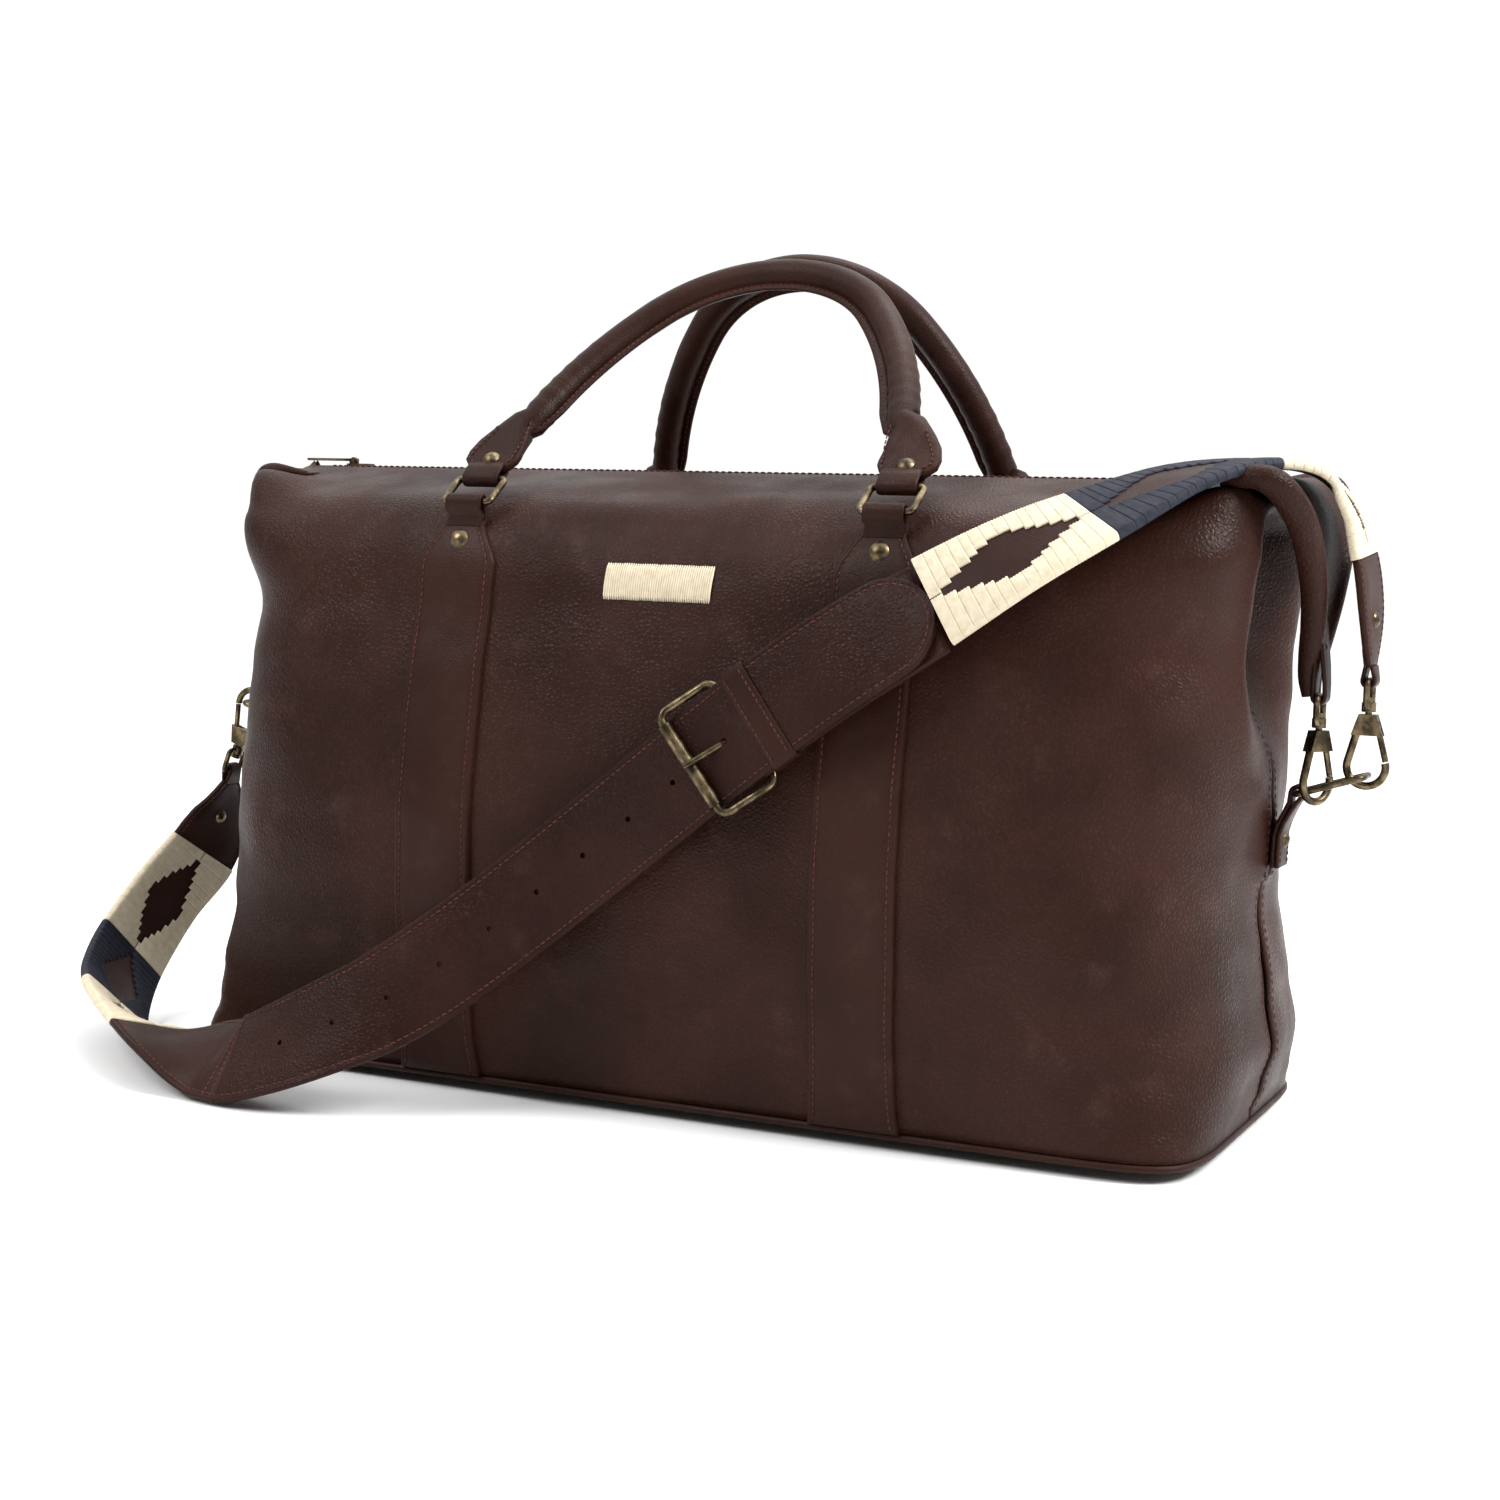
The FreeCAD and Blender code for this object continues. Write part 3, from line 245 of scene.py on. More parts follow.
def turn(centre, first, second, radius, degrees):
    """Points on an arc; first and second are its directions at 0 and 90 degrees."""
    return [centre + first * (radius * math.cos(a)) + second * (radius * math.sin(a))
            for a in map(math.radians, degrees)]


def squared_ring(count, power_u, power_v):
    """Unit ring of points, squared off by two powers."""
    ring = []
    for k in range(count):
        c, s = math.cos(2 * math.pi * k / count), math.sin(2 * math.pi * k / count)
        ring.append((math.copysign(abs(c) ** power_u, c), math.copysign(abs(s) ** power_v, s)))
    return ring


def spline(rows, steps, before, after):
    """Rows of numbers along a smooth curve through the given rows; before and after set its ends."""
    padded = [before] + rows + [after]
    result = []
    for a, b, c, d in zip(padded, padded[1:], padded[2:], padded[3:]):
        for k in range(steps):
            t = k / steps
            result.append([0.5 * (2 * q + (r - p) * t + (2 * p - 5 * q + 4 * r - s) * t * t
                                  + (3 * q - p - 3 * r + s) * t ** 3) for p, q, r, s in zip(a, b, c, d)])
    return result + [list(rows[-1])]


def circle_arc(a, b, c, count):
    """Points of the circle arc from a to c through b, in a plane."""
    (ax, ay), (bx, by), (cx, cy) = a, b, c
    d = 2 * (ax * (by - cy) + bx * (cy - ay) + cx * (ay - by))
    aa, bb, cc = ax * ax + ay * ay, bx * bx + by * by, cx * cx + cy * cy
    ux = (aa * (by - cy) + bb * (cy - ay) + cc * (ay - by)) / d
    uy = (aa * (cx - bx) + bb * (ax - cx) + cc * (bx - ax)) / d
    start, middle, end = (math.atan2(y - uy, x - ux) for x, y in (a, b, c))
    sweep_angle = (end - start) % (2 * math.pi)
    if (middle - start) % (2 * math.pi) > sweep_angle:
        sweep_angle -= 2 * math.pi
    radius = math.hypot(ax - ux, ay - uy)
    angles = [start + sweep_angle * i / count for i in range(count + 1)]
    return [(ux + radius * math.cos(t), uy + radius * math.sin(t)) for t in angles]


def eased(points, rounds):
    """A line of points with its corners softened and its ends kept."""
    for _ in range(rounds):
        middle = [(0.25 * (a[0] + c[0]) + 0.5 * b[0], 0.25 * (a[1] + c[1]) + 0.5 * b[1])
                  for a, b, c in zip(points, points[1:-3], points[2:])]
        points = points[:1] + middle[:len(points) - 4] + points[-3:]
    return points


# ---- materials

def material(name, colour, roughness, metallic=0.0, specular=0.5):
    """Principled material with its constant values set on the shader itself."""
    made = bpy.data.materials.new(name)
    made.use_nodes = True
    shader = made.node_tree.nodes["Principled BSDF"]
    shader.inputs["Base Color"].default_value = (*colour, 1)
    shader.inputs["Roughness"].default_value = roughness
    shader.inputs["Metallic"].default_value = metallic
    shader.inputs["Specular IOR Level"].default_value = specular
    return made


MIX_A, MIX_B, MIX_RESULT = 6, 7, 2      # the mix node's colour sockets


def add_node(tree, kind, output, values, **settings):
    """Output of a new node; values are numbers, colours or links for its inputs."""
    node = tree.nodes.new(kind)
    for name, value in settings.items():
        setattr(node, name, value)
    for key, value in values.items():
        if isinstance(value, bpy.types.NodeSocket):
            tree.links.new(value, node.inputs[key])
        else:
            node.inputs[key].default_value = value
    return node.outputs[output]


def add_ramp(tree, value, low, high, start, end):
    """Value mapped smoothly between two limits."""
    values = {"Value": value, "From Min": low, "From Max": high, "To Min": start, "To Max": end}
    return add_node(tree, "ShaderNodeMapRange", "Result", values, interpolation_type="SMOOTHSTEP")


class Nodes:
    """Short calls for the nodes of one material."""

    def __init__(self, made):
        self.tree = made.node_tree
        self.place = self.add("ShaderNodeTexCoord", "Object", {})

    def add(self, kind, output, values, **settings):
        """Output of a new node of this material."""
        return add_node(self.tree, kind, output, values, **settings)

    def drive(self, **outputs):
        """Links outputs to the shader's inputs of the same names."""
        for name, output in outputs.items():
            self.tree.links.new(output, self.tree.nodes["Principled BSDF"].inputs[name.replace("_", " ")])

    def noise(self, scale, detail=3.0, rough=0.5, stretch=None):
        """Noise in object space; stretch scales the axes."""
        place = self.place
        if stretch:
            place = self.add("ShaderNodeMapping", "Vector", {"Vector": place, "Scale": stretch})
        values = {"Scale": scale, "Detail": detail, "Roughness": rough, "Vector": place}
        return self.add("ShaderNodeTexNoise", "Fac", values)

    def cells(self, scale, warp):
        """Distance to the edges of cells whose coordinates are warped a little by noise."""
        soft = {"Scale": scale * 0.6, "Detail": 1.0, "Vector": self.place}
        shift = {0: self.add("ShaderNodeTexNoise", "Color", soft), 1: (warp, warp, warp), 2: self.place}
        moved = self.add("ShaderNodeVectorMath", "Vector", shift, operation="MULTIPLY_ADD")
        return self.add("ShaderNodeTexVoronoi", "Distance", {"Scale": scale, "Vector": moved},
                        feature="DISTANCE_TO_EDGE")

    def ramp(self, value, low, high, start=0.0, end=1.0):
        """Value mapped smoothly between two limits."""
        return add_ramp(self.tree, value, low, high, start, end)

    def mix(self, factor, first, second):
        """Colour between two colours or links."""
        first, second = ((*c, 1) if isinstance(c, tuple) else c for c in (first, second))
        values = {0: factor, MIX_A: first, MIX_B: second}
        return self.add("ShaderNodeMix", MIX_RESULT, values, data_type="RGBA")

    def math(self, kind, first, second):
        """One sum of two numbers or links."""
        return self.add("ShaderNodeMath", "Value", {0: first, 1: second}, operation=kind)

    def bump(self, height, strength, distance, **before):
        """Relief from a height, over an earlier relief given as Normal."""
        values = {"Strength": strength, "Distance": distance, "Height": height, **before}
        return self.add("ShaderNodeBump", "Normal", values)


def leather(name, dark, light, grain, grain_depth, roughness=0.46):
    """Pebbled leather: cells of grain, fine pores, cloudy colour, lighter worn spots and painted shade in the
    grain's hollows.
    """
    made = material(name, light, roughness, specular=0.09)
    n = Nodes(made)
    clouds = n.ramp(n.noise(14.0, 4.0), 0.32, 0.68)
    pebble = n.ramp(n.cells(grain, warp=0.0016), 0.0, 0.42)
    fine = n.noise(grain * 3.2, 3.0)
    base = n.mix(clouds, dark, light)
    worn = tuple(min(1.0, c * 1.55 + 0.012) for c in light)
    spots = n.math("MULTIPLY", n.ramp(n.noise(38.0, 5.0, 0.62), 0.56, 0.78), 0.4)
    base = n.mix(spots, base, worn)
    # painted shade: the hollows between the grain's pebbles are mixed towards a darker brown
    crease = tuple(c * 0.7 for c in dark)
    base = n.mix(n.ramp(pebble, 0.0, 0.6, 0.66, 1.0), crease, base)
    rough = n.math("ADD", n.ramp(n.noise(30.0, 3.0), 0.3, 0.7, roughness - 0.07, roughness + 0.08),
                   n.ramp(pebble, 0.0, 1.0, 0.06, 0.0))
    height = n.math("MULTIPLY", pebble, n.ramp(n.noise(9.0, 2.0), 0.3, 0.7, 0.55, 1.0))
    relief = n.bump(height, grain_depth, 0.0007, Normal=n.bump(fine, 0.16, 0.0004))
    n.drive(Base_Color=base, Roughness=rough, Normal=relief)
    return made


def brass(name, base, tarnish, roughness=0.34):
    """Antique brass: worn bright spots, dark tarnish and fine scratches."""
    made = material(name, base, roughness, metallic=1.0)
    n = Nodes(made)
    patches = n.ramp(n.noise(140.0, 5.0, 0.6), 0.38, 0.66)
    rough = n.ramp(n.noise(260.0, 4.0), 0.3, 0.7, roughness - 0.08, roughness + 0.16)
    scratch = n.noise(900.0, 2.0, 0.5, stretch=(1.0, 0.25, 1.0))
    n.drive(Base_Color=n.mix(patches, tarnish, base), Roughness=rough, Normal=n.bump(scratch, 0.12, 0.0002))
    return made


def thread(name, dark, light, roughness=0.62):
    """Waxed thread: light and dark strands with a fine twist."""
    made = material(name, light, roughness, specular=0.18)
    n = Nodes(made)
    strands = n.ramp(n.noise(300.0, 2.0, 0.5), 0.2, 0.75)
    soil = n.ramp(n.noise(30.0, 3.0), 0.45, 0.8, 0.0, 0.3)
    colour = n.mix(strands, dark, light)
    colour = n.mix(soil, colour, tuple(0.5 * (a + b) * 0.86 for a, b in zip(dark, light)))
    n.drive(Base_Color=colour, Normal=n.bump(n.noise(2600.0, 2.0), 0.35, 0.00025))
    return made


def cloth(name, dark, light, pitch):
    """Plain woven cloth of crossing yarns."""
    made = material(name, light, 0.85, specular=0.2)
    made.node_tree.nodes["Principled BSDF"].inputs["Sheen Weight"].default_value = 0.2
    n = Nodes(made)
    waves = []
    for axis in ("X", "Z"):
        values = {"Scale": 1.0 / pitch / 6.3, "Distortion": 0.6, "Vector": n.place}
        waves.append(n.add("ShaderNodeTexWave", "Fac", values, wave_type="BANDS", bands_direction=axis))
    weave = n.math("MULTIPLY", *waves)
    n.drive(Base_Color=n.mix(weave, dark, light), Normal=n.bump(weave, 0.5, 0.0004))
    return made


PANEL = leather("bag_leather", (0.0165, 0.0053, 0.0031), (0.031, 0.0110, 0.0074), 430.0, 0.4, 0.40)
TRIM = leather("trim_leather", (0.0165, 0.0053, 0.0031), (0.029, 0.0104, 0.0069), 700.0, 0.2, 0.38)
STRAP = leather("strap_leather", (0.0155, 0.0047, 0.0028), (0.027, 0.0091, 0.0060), 720.0, 0.2, 0.40)
BILLET = leather("billet_leather", (0.0140, 0.0042, 0.0025), (0.024, 0.0082, 0.0055), 480.0, 0.4, 0.40)
BRASS = brass("antique_brass", (0.17, 0.128, 0.073), (0.045, 0.034, 0.02))
BROWN_THREAD = thread("brown_stitching", (0.030, 0.0085, 0.0065), (0.085, 0.022, 0.016), 0.6)
CREAM = thread("cream_thread", (0.50, 0.425, 0.305), (0.60, 0.53, 0.40), 0.6)
NAVY = thread("navy_thread", (0.007, 0.008, 0.014), (0.018, 0.020, 0.032), 0.62)
LINING = cloth("lining_cloth", (0.10, 0.075, 0.055), (0.20, 0.155, 0.115), 0.0009)
TAPE = cloth("zip_tape", (0.016, 0.009, 0.007), (0.040, 0.024, 0.019), 0.0006)
COIL = brass("zip_metal", (0.30, 0.225, 0.13), (0.09, 0.065, 0.04), 0.4)
ROPE = cloth("handle_rope", (0.30, 0.24, 0.16), (0.52, 0.43, 0.31), 0.0016)
BOARD = cloth("stiff_board", (0.10, 0.085, 0.065), (0.17, 0.14, 0.105), 0.002)


# ---- the bag's skin

BASE_Z = 9.5
FLAT_X = 150.0                 # the panel is straight up to here, then rounds the corner
FLAT_SHARE = 0.42              # share of a panel's columns on its straight half
PROFILE = eased(circle_arc((115.0, 9.5), (126.0, 110.0), (108.0, 250.0), 56)
                + circle_arc((108.0, 250.0), (100.0, 284.0), (80.0, 302.5), 18)[1:]
                + [(80.0 - 68.0 * k / 14, 302.5 + 15.5 * k / 14) for k in range(1, 15)]
                + [(8.0, 318.0), (5.6, 317.9), (4.2, 317.0)], 6)
RIGHT_LENGTH = [(12, 275), (26, 280), (47, 285), (73, 281), (112, 275), (141, 276), (180, 279), (320, 280)]
LEFT_LENGTH = [(12, 280), (26, 283), (47, 289), (80, 284), (146, 280), (235, 275), (291, 278), (320, 278)]
CORNER = [(9, 7.5), (26, 4.6), (46, 3.4), (80, 3.0), (146, 2.8), (235, 3.1), (291, 5.0), (305, 6.0)]
TAB_SEAT_X = 280.2
CORNER_STEPS = 44
FLAT_STEPS = 38


def corner_point(t, power):
    """Point on a rounded quarter from (0, 1) to (1, 0)."""
    angle = t * math.pi / 2
    s, c = math.sin(angle), math.cos(angle)
    reach = (s ** power + c ** power) ** (-1 / power)
    return reach * s, reach * c


def skin(depth, z, along, side):
    """Point on the bag's skin: half depth and height from the profile, along from -1 to 1."""
    sign = 1 if along >= 0 else -1
    length = lerp_table(RIGHT_LENGTH if sign > 0 else LEFT_LENGTH, z)
    share = abs(along)
    if share <= FLAT_SHARE:
        x, y = FLAT_X * share / FLAT_SHARE, depth
        outward = Vector((0.0, 1.0, 0.0))
    else:
        u, v = corner_point((share - FLAT_SHARE) / (1 - FLAT_SHARE), lerp_table(CORNER, z))
        x, y = FLAT_X + (length - FLAT_X) * u, depth * v
        outward = Vector((sign * u ** 2, v ** 2, 0.0)).normalized()
    # the end folds inwards under the zip's wing
    tuck = smooth(176, 236, z) * (1 - smooth(292, 309, z))
    x -= 21 * tuck * (1 - smooth(4, 52, y)) * smooth(0.7, 0.9, share)
    # the end seam is held out where the tab is riveted
    held = smooth(124, 132, z) * (1 - smooth(158, 176, z))
    x += (TAB_SEAT_X - length) * math.exp(-((y - 3 * side) / 16) ** 2) * held
    # ears at the top corners
    z += 11 * smooth(226, 274, x) * math.exp(-((y - 64) / 17) ** 2) * smooth(296, 303, z)
    point = Vector((sign * x, y, z))
    point += outward * billow(point, side)
    if z > 290:
        point.z += 1.6 * noise.noise(Vector((point.x / 70, point.y / 30, 3.1 + side))) * smooth(20, 50, y)
    return Vector((point.x, side * point.y, point.z))


def billow(p, side):
    """How far the leather stands off its even shape: slack, soft folds and creases."""
    held = math.exp(-((abs(p.x) - 114.4) / 30) ** 2 - ((p.z - 284) / 30) ** 2)
    held = max(held, math.exp(-(p.z - BASE_Z) / 12))
    held = max(held, math.exp(-(p.y / 26) ** 2) * smooth(100, 130, p.z) * (1 - smooth(176, 200, p.z)))
    held = max(held, smooth(305, 316, p.z))
    slack = 3.6 * noise.noise(Vector((p.x / 150, p.z / 95, 7.3 * side + 1.7)))
    folds = 1.5 * noise.noise(Vector((p.x / 52, p.z / 30, 2.9 * side)))
    # long diagonal pulls running down from the ears
    reach = max(0.0, abs(p.x) - 150)
    pull = math.sin((p.z * 0.75 + reach * 0.9) / 15.5 + side)
    pull *= smooth(175, 250, abs(p.x)) * smooth(190, 270, p.z)
    sag = -4.2 * math.exp(-(p.x / 62) ** 2 - ((p.z - 276) / 24) ** 2)
    sag -= 3.2 * math.exp(-((abs(p.x) - 205) / 42) ** 2 - ((p.z - 272) / 26) ** 2)
    fine = 0.5 * noise.noise(Vector((p.x / 17, p.z / 13, 5.0 * side)))
    return (slack + folds + 1.3 * pull + sag + fine) * (1 - min(1.0, held))


def columns():
    """Positions along a panel from the left end seam to the right, closer at the seams."""
    flat = [FLAT_SHARE * k / FLAT_STEPS for k in range(FLAT_STEPS + 1)]
    bend = [FLAT_SHARE + (1 - FLAT_SHARE) * k / CORNER_STEPS for k in range(1, CORNER_STEPS)]
    right = flat + bend + [0.992, 0.9965, 1.0]
    return [-c for c in right[::-1]][:-1] + right


def panel_grid(side, inset=0.0, step=1):
    """Points of one panel; inset moves them inwards."""
    profile = PROFILE[::step]
    if profile[-1] != PROFILE[-1]:
        profile = profile + [PROFILE[-1]]
    across = columns()[::step]
    if across[-1] != 1.0:
        across.append(1.0)
    grid = [[skin(d, z, c, side) for c in across] for d, z in profile]
    for row in grid:
        for j, drop in ((0, 1.4), (1, 0.5), (-1, 1.4), (-2, 0.5)):
            row[j].x -= drop * (1 if row[j].x > 0 else -1)
    if inset:
        normals = grid_normals(grid)
        grid = [[p + n * (inset * side) for p, n in zip(ps, ns)] for ps, ns in zip(grid, normals)]
        for row in grid:
            for p in row:
                p.y = side * max(abs(p.y), 0.35)
    return grid


def panel(name, side, node):
    """Front or back panel, with its thickness."""
    top = panel_grid(side)
    for row in top:
        for p in row:
            p.y = side * max(abs(p.y), 0.12)
    bottom = panel_grid(side, 2.2)
    add_piece(name, *closed_sheet(top, bottom), PANEL, stands_for=(node,))


def skin_at(x, z, side, lift):
    """Point on the straight part of a panel at a height, moved outwards."""
    depth = profile_depth(z)
    along = FLAT_SHARE * x / FLAT_X
    here = skin(depth, z, along, side)
    a = skin(profile_depth(z - 1.5), z - 1.5, along, side)
    b = skin(profile_depth(z + 1.5), z + 1.5, along, side)
    up = b - a
    normal = Vector((0.0, side * up.z, -side * up.y)).normalized()
    return here + normal * lift, normal


def profile_depth(z):
    """Half depth of the bag's even shape at a height."""
    for (d1, z1), (d2, z2) in zip(PROFILE, PROFILE[1:]):
        if z1 <= z <= z2:
            return d1 + (d2 - d1) * (z - z1) / max(1e-6, z2 - z1)
    return PROFILE[0][0] if z < BASE_Z else PROFILE[-1][0]


def skin_run(along, side, lift, low, high):
    """Points and normals up one line of the skin, for seams."""
    rows = [(d, z) for d, z in PROFILE if low <= z <= high]
    points = [skin(d, z, along, side) for d, z in rows]
    beside = [skin(d, z, along * 0.99, side) for d, z in rows]
    normals = []
    for i, p in enumerate(points):
        up = points[min(i + 1, len(points) - 1)] - points[max(i - 1, 0)]
        out = up.cross(beside[i] - p)
        if out.dot(Vector((p.x * 0.3, p.y, 0))) < 0:
            out = -out
        normals.append(out.normalized())
    return [p + n * lift for p, n in zip(points, normals)], normals


def body_pieces():
    """Panels, lining, zip tapes, base and the seams' stitching."""
    panel("front_skin", -1, "front_panel")
    panel("back_skin", 1, "back_panel")
    shells = [closed_sheet(panel_grid(side, 2.6, 3), panel_grid(side, 3.4, 3)) for side in (-1, 1)]
    add_piece("lining_shell", *joined(shells), LINING, stands_for=("lining",), slot="lining_cloth")
    tapes = []
    for side in (-1, 1):
        path = [Vector((-261 + 522 * k / 90, side * 6.6, 315.0 + 0.12 * math.sin(k * 0.9)))
                for k in range(91)]
        tapes.append(ribbon(path_frames(path, Vector((0, 1, 0))), 4.6, 0.45, 0.0, 0.05))
    add_piece("zip_tape_pair", *joined(tapes), TAPE, stands_for=("zip_tapes",), slot="zip_tape")
    seams = []
    for side in (-1, 1):
        for sign in (-1, 1):
            points, normals = skin_run(sign * 0.984, side, 0.05, 12, 240)
            seams.append(stitches(points, normals, 4.2, 3.0, 0.4))
        rim = []
        for k in range(131):
            x = -258 + 516 * k / 130
            along = FLAT_SHARE * x / FLAT_X
            if abs(x) > FLAT_X:
                along = math.copysign(FLAT_SHARE + 0.348 * (abs(x) - FLAT_X) / 129, x)
            rim.append(Vector((x, side * 10.5, skin(12.5, 317.9, along, side).z + 0.15)))
        seams.append(stitches(rim, [Vector((0, 0, 1))] * len(rim), 3.8, 2.8, 0.4))
    add_piece("seam_stitching", *joined(seams), BROWN_THREAD)
    base_pieces()


def base_plan(grow, z):
    """Closed line round the bag's foot."""
    across = [-1 + 2 * k / 150 for k in range(151)]
    front = [skin(115.0 + grow, BASE_Z, c, -1) for c in across]
    back = [skin(115.0 + grow, BASE_Z, c, 1) for c in across[::-1]]
    ring = front[:-1] + back[:-1]
    return [Vector((p.x * (1 + grow / 280), p.y, z)) for p in ring]


def base_pieces():
    """Base panel with its piping; the base hangs a little between its feet."""
    edge = tube(base_plan(-0.6, 7.2), 1.9, 10, closed=True)
    add_piece("base_edge", *edge, TRIM, stands_for=("base_piping",))
    outer = base_plan(-1.5, 8.4)
    rings = 14
    low, high = [], []
    for k in range(rings):
        share = 1 - k / rings
        bow = -1.1 * (1 - share ** 2)
        low.append([Vector((p.x * share, p.y * share, 6.4 + 0.35 * bow)) for p in outer])
        high.append([Vector((p.x * share, p.y * share, 8.6 + 0.35 * bow)) for p in outer])
    count = len(outer)
    verts = [p for ring in low + high[::-1] for p in ring]
    faces = []
    for i in range(2 * rings - 1):
        if i == rings - 1:
            continue
        for j in range(count):
            k = (j + 1) % count
            faces.append((i * count + j, (i + 1) * count + j, (i + 1) * count + k, i * count + k))
    last = (2 * rings - 1) * count
    faces += [(last + j, j, (j + 1) % count, last + (j + 1) % count) for j in range(count)]
    inner_low, inner_high = (rings - 1) * count, rings * count
    faces.append(tuple(inner_low + j for j in range(count)))
    faces.append(tuple(inner_high + j for j in range(count - 1, -1, -1)))
    add_piece("base_sheet", verts, faces, TRIM, stands_for=("base_panel",))


# ---- strips, loops and the front patch

STRIP_X = 114.4
STRIP_T = 3.2
LOOP_R, LOOP_HALF = 3.15, 10.5
UP = Vector((0, 0, 1))
FRONT_BAR = (98.8, 299.3)
BACK_BAR = (101.5, 291.0)


def strip_half_width(z, bar_z):
    """Half width of a strip: straight, flared at the foot, tapered in facets to its loop."""
    flare = 1.8 * math.exp(-(z - BASE_Z) / 9)
    if z < bar_z - 30:
        return 22.0 + flare
    if z < bar_z - 25:
        return 22.0 - 2.4 * (z - bar_z + 30) / 5
    return max(10.5, 19.6 - 9.1 * (z - bar_z + 25) / 13)


def strip_sheet(x, bar_z, side):
    """The stitched strip itself, lying on the panel."""
    profile = [z for _, z in PROFILE if z < bar_z - 32]
    profile += [bar_z - 32 + 22.0 * k / 22 for k in range(23)]
    shape = [(-1.0, 0.0), (-0.99, 0.55), (-0.965, 0.9), (-0.93, 1.0), (-0.86, 1.0), (-0.835, 0.9),
             (-0.80, 1.0), (-0.6, 1.02), (-0.3, 1.04), (0.0, 1.05)]
    shape += [(-u, h) for u, h in shape[-2::-1]]
    top, bottom = [], []
    for z in profile:
        half = strip_half_width(z, bar_z)
        end = 1 - 0.85 * smooth(bar_z - 11.5, bar_z - 10, z)
        top.append([skin_at(x + u * half, z, side, h * STRIP_T * end)[0] for u, h in shape])
        bottom.append([skin_at(x + u * half, z, side, -0.6)[0] for u, h in shape])
    return closed_sheet(top, bottom)


def strip_loop(x, bar, side):
    """Leather turned over the ring's bar, from the strip's face back to the panel."""
    y, z = bar
    path = [skin_at(x, z - 14, side, STRIP_T - 0.4)[0], skin_at(x, z - 9.5, side, STRIP_T + 0.5)[0],
            Vector((x, side * (y + 3.3), z - 4))]
    path += turn(Vector((x, side * y, z)), Vector((0, side, 0)), UP, LOOP_R, range(-5, 186, 19))
    path += [Vector((x, side * (y - 3.1), z - 4)), skin_at(x, z - 9, side, 0.6)[0],
             skin_at(x, z - 13, side, -0.2)[0]]
    return ribbon(path_frames(path, Vector((-side, 0, 0))), LOOP_HALF, 1.05, 0.1, 0.12)


def strip_seam(x, bar_z, side):
    """Stitching round a strip: up one edge, across the taper and down the other."""
    left, right = [], []
    heights = [12 + 4.0 * k for k in range(int((bar_z - 24) / 4.0))]
    heights += [bar_z - 12.5]
    for z in heights:
        half = strip_half_width(z, bar_z) - 3.6
        left.append(skin_at(x - half, z, side, STRIP_T * 1.02))
        right.append(skin_at(x + half, z, side, STRIP_T * 1.02))
    run = left + right[::-1]
    return stitches([p for p, n in run], [n for p, n in run], 3.5, 2.5, 0.42)


def strip_pieces():
    """Four strips with their loops and stitching."""
    for name, side, bar in (("front", -1, FRONT_BAR), ("back", 1, BACK_BAR)):
        parts = []
        for x in (-STRIP_X, STRIP_X):
            parts += [strip_sheet(x, bar[1], side), strip_loop(x, bar, side)]
        add_piece(name + "_strip_pair", *joined(parts), TRIM, stands_for=(name + "_strips",))
        seams = [strip_seam(x, bar[1], side) for x in (-STRIP_X, STRIP_X)]
        add_piece(name + "_strip_stitching", *joined(seams), BROWN_THREAD)
    front_mark()


def front_mark():
    """Plain patch of upright satin stitches on the front."""
    pitch, half_w = 1.25, 29.0
    parts = []
    count = int(2 * half_w / pitch)
    for k in range(count + 1):
        x = -half_w + k * pitch
        wobble = 0.25 * noise.noise(Vector((k * 0.7, 0.3, 0)))
        points = []
        for s in range(9):
            t = s / 8
            z = 253.2 + wobble + 17.6 * t
            rise = 0.25 + 0.75 * math.sin(math.pi * t) ** 0.35
            points.append(skin_at(x, z, -1, rise)[0])
        parts.append(tube(points, lambda i: 0.35 if i in (0, 8) else 0.66, 6))
    add_piece("front_patch_stitches", *joined(parts), CREAM, stands_for=("front_patch",), slot="cream_thread")


# ---- handles

RING_H = 19.6
HALF_SPAN, ARCH_H, ARCH_TOP_R = 107.4, 162.0, 80.0
TUBE_R = 8.0
# a handle's tab from its ring up: sideways shift, height, half width, half thickness, squareness
TAB = ((0, 7, 11.0, 2.3, 6), (0, 10, 13.2, 2.45, 6), (0.4, 13, 15.2, 2.5, 6), (0.4, 18, 15.6, 2.5, 6),
       (-0.6, 24, 14.6, 2.9, 5), (-2.6, 30, 12.8, 4.2, 3.4), (-4.8, 36, 10.9, 5.9, 2.5),
       (-6.6, 40.5, 9.2, 7.2, 2.1))
FIN_SHAPE = ((-3.4, 1.35), (1.6, 1.15), (2.5, 0.8), (2.8, 0.0), (2.5, -0.8), (1.6, -1.15), (-3.4, -1.35))


def arch_points(first_h, step=3.2):
    """Centre line of a handle in its own plane, from the right foot over the top to the left foot."""
    side_r = HALF_SPAN ** 2 + (ARCH_H - ARCH_TOP_R) ** 2 - ARCH_TOP_R ** 2
    side_r /= 2 * (HALF_SPAN - ARCH_TOP_R)
    centre_x, top_y = HALF_SPAN - side_r, ARCH_H - ARCH_TOP_R
    join = math.atan2(top_y, -centre_x)
    first = math.asin(first_h / side_r)
    count = int(side_r * (join - first) / step)
    right = [(centre_x + side_r * math.cos(first + (join - first) * k / count),
              side_r * math.sin(first + (join - first) * k / count)) for k in range(count + 1)]
    begin = math.atan2(right[-1][1] - top_y, right[-1][0])
    count = int(ARCH_TOP_R * (math.pi / 2 - begin) / step)
    angles = [begin + (math.pi / 2 - begin) * k / count for k in range(1, count + 1)]
    right += [(ARCH_TOP_R * math.cos(a), top_y + ARCH_TOP_R * math.sin(a)) for a in angles]
    return right + [(-x, h) for x, h in right[-2::-1]]


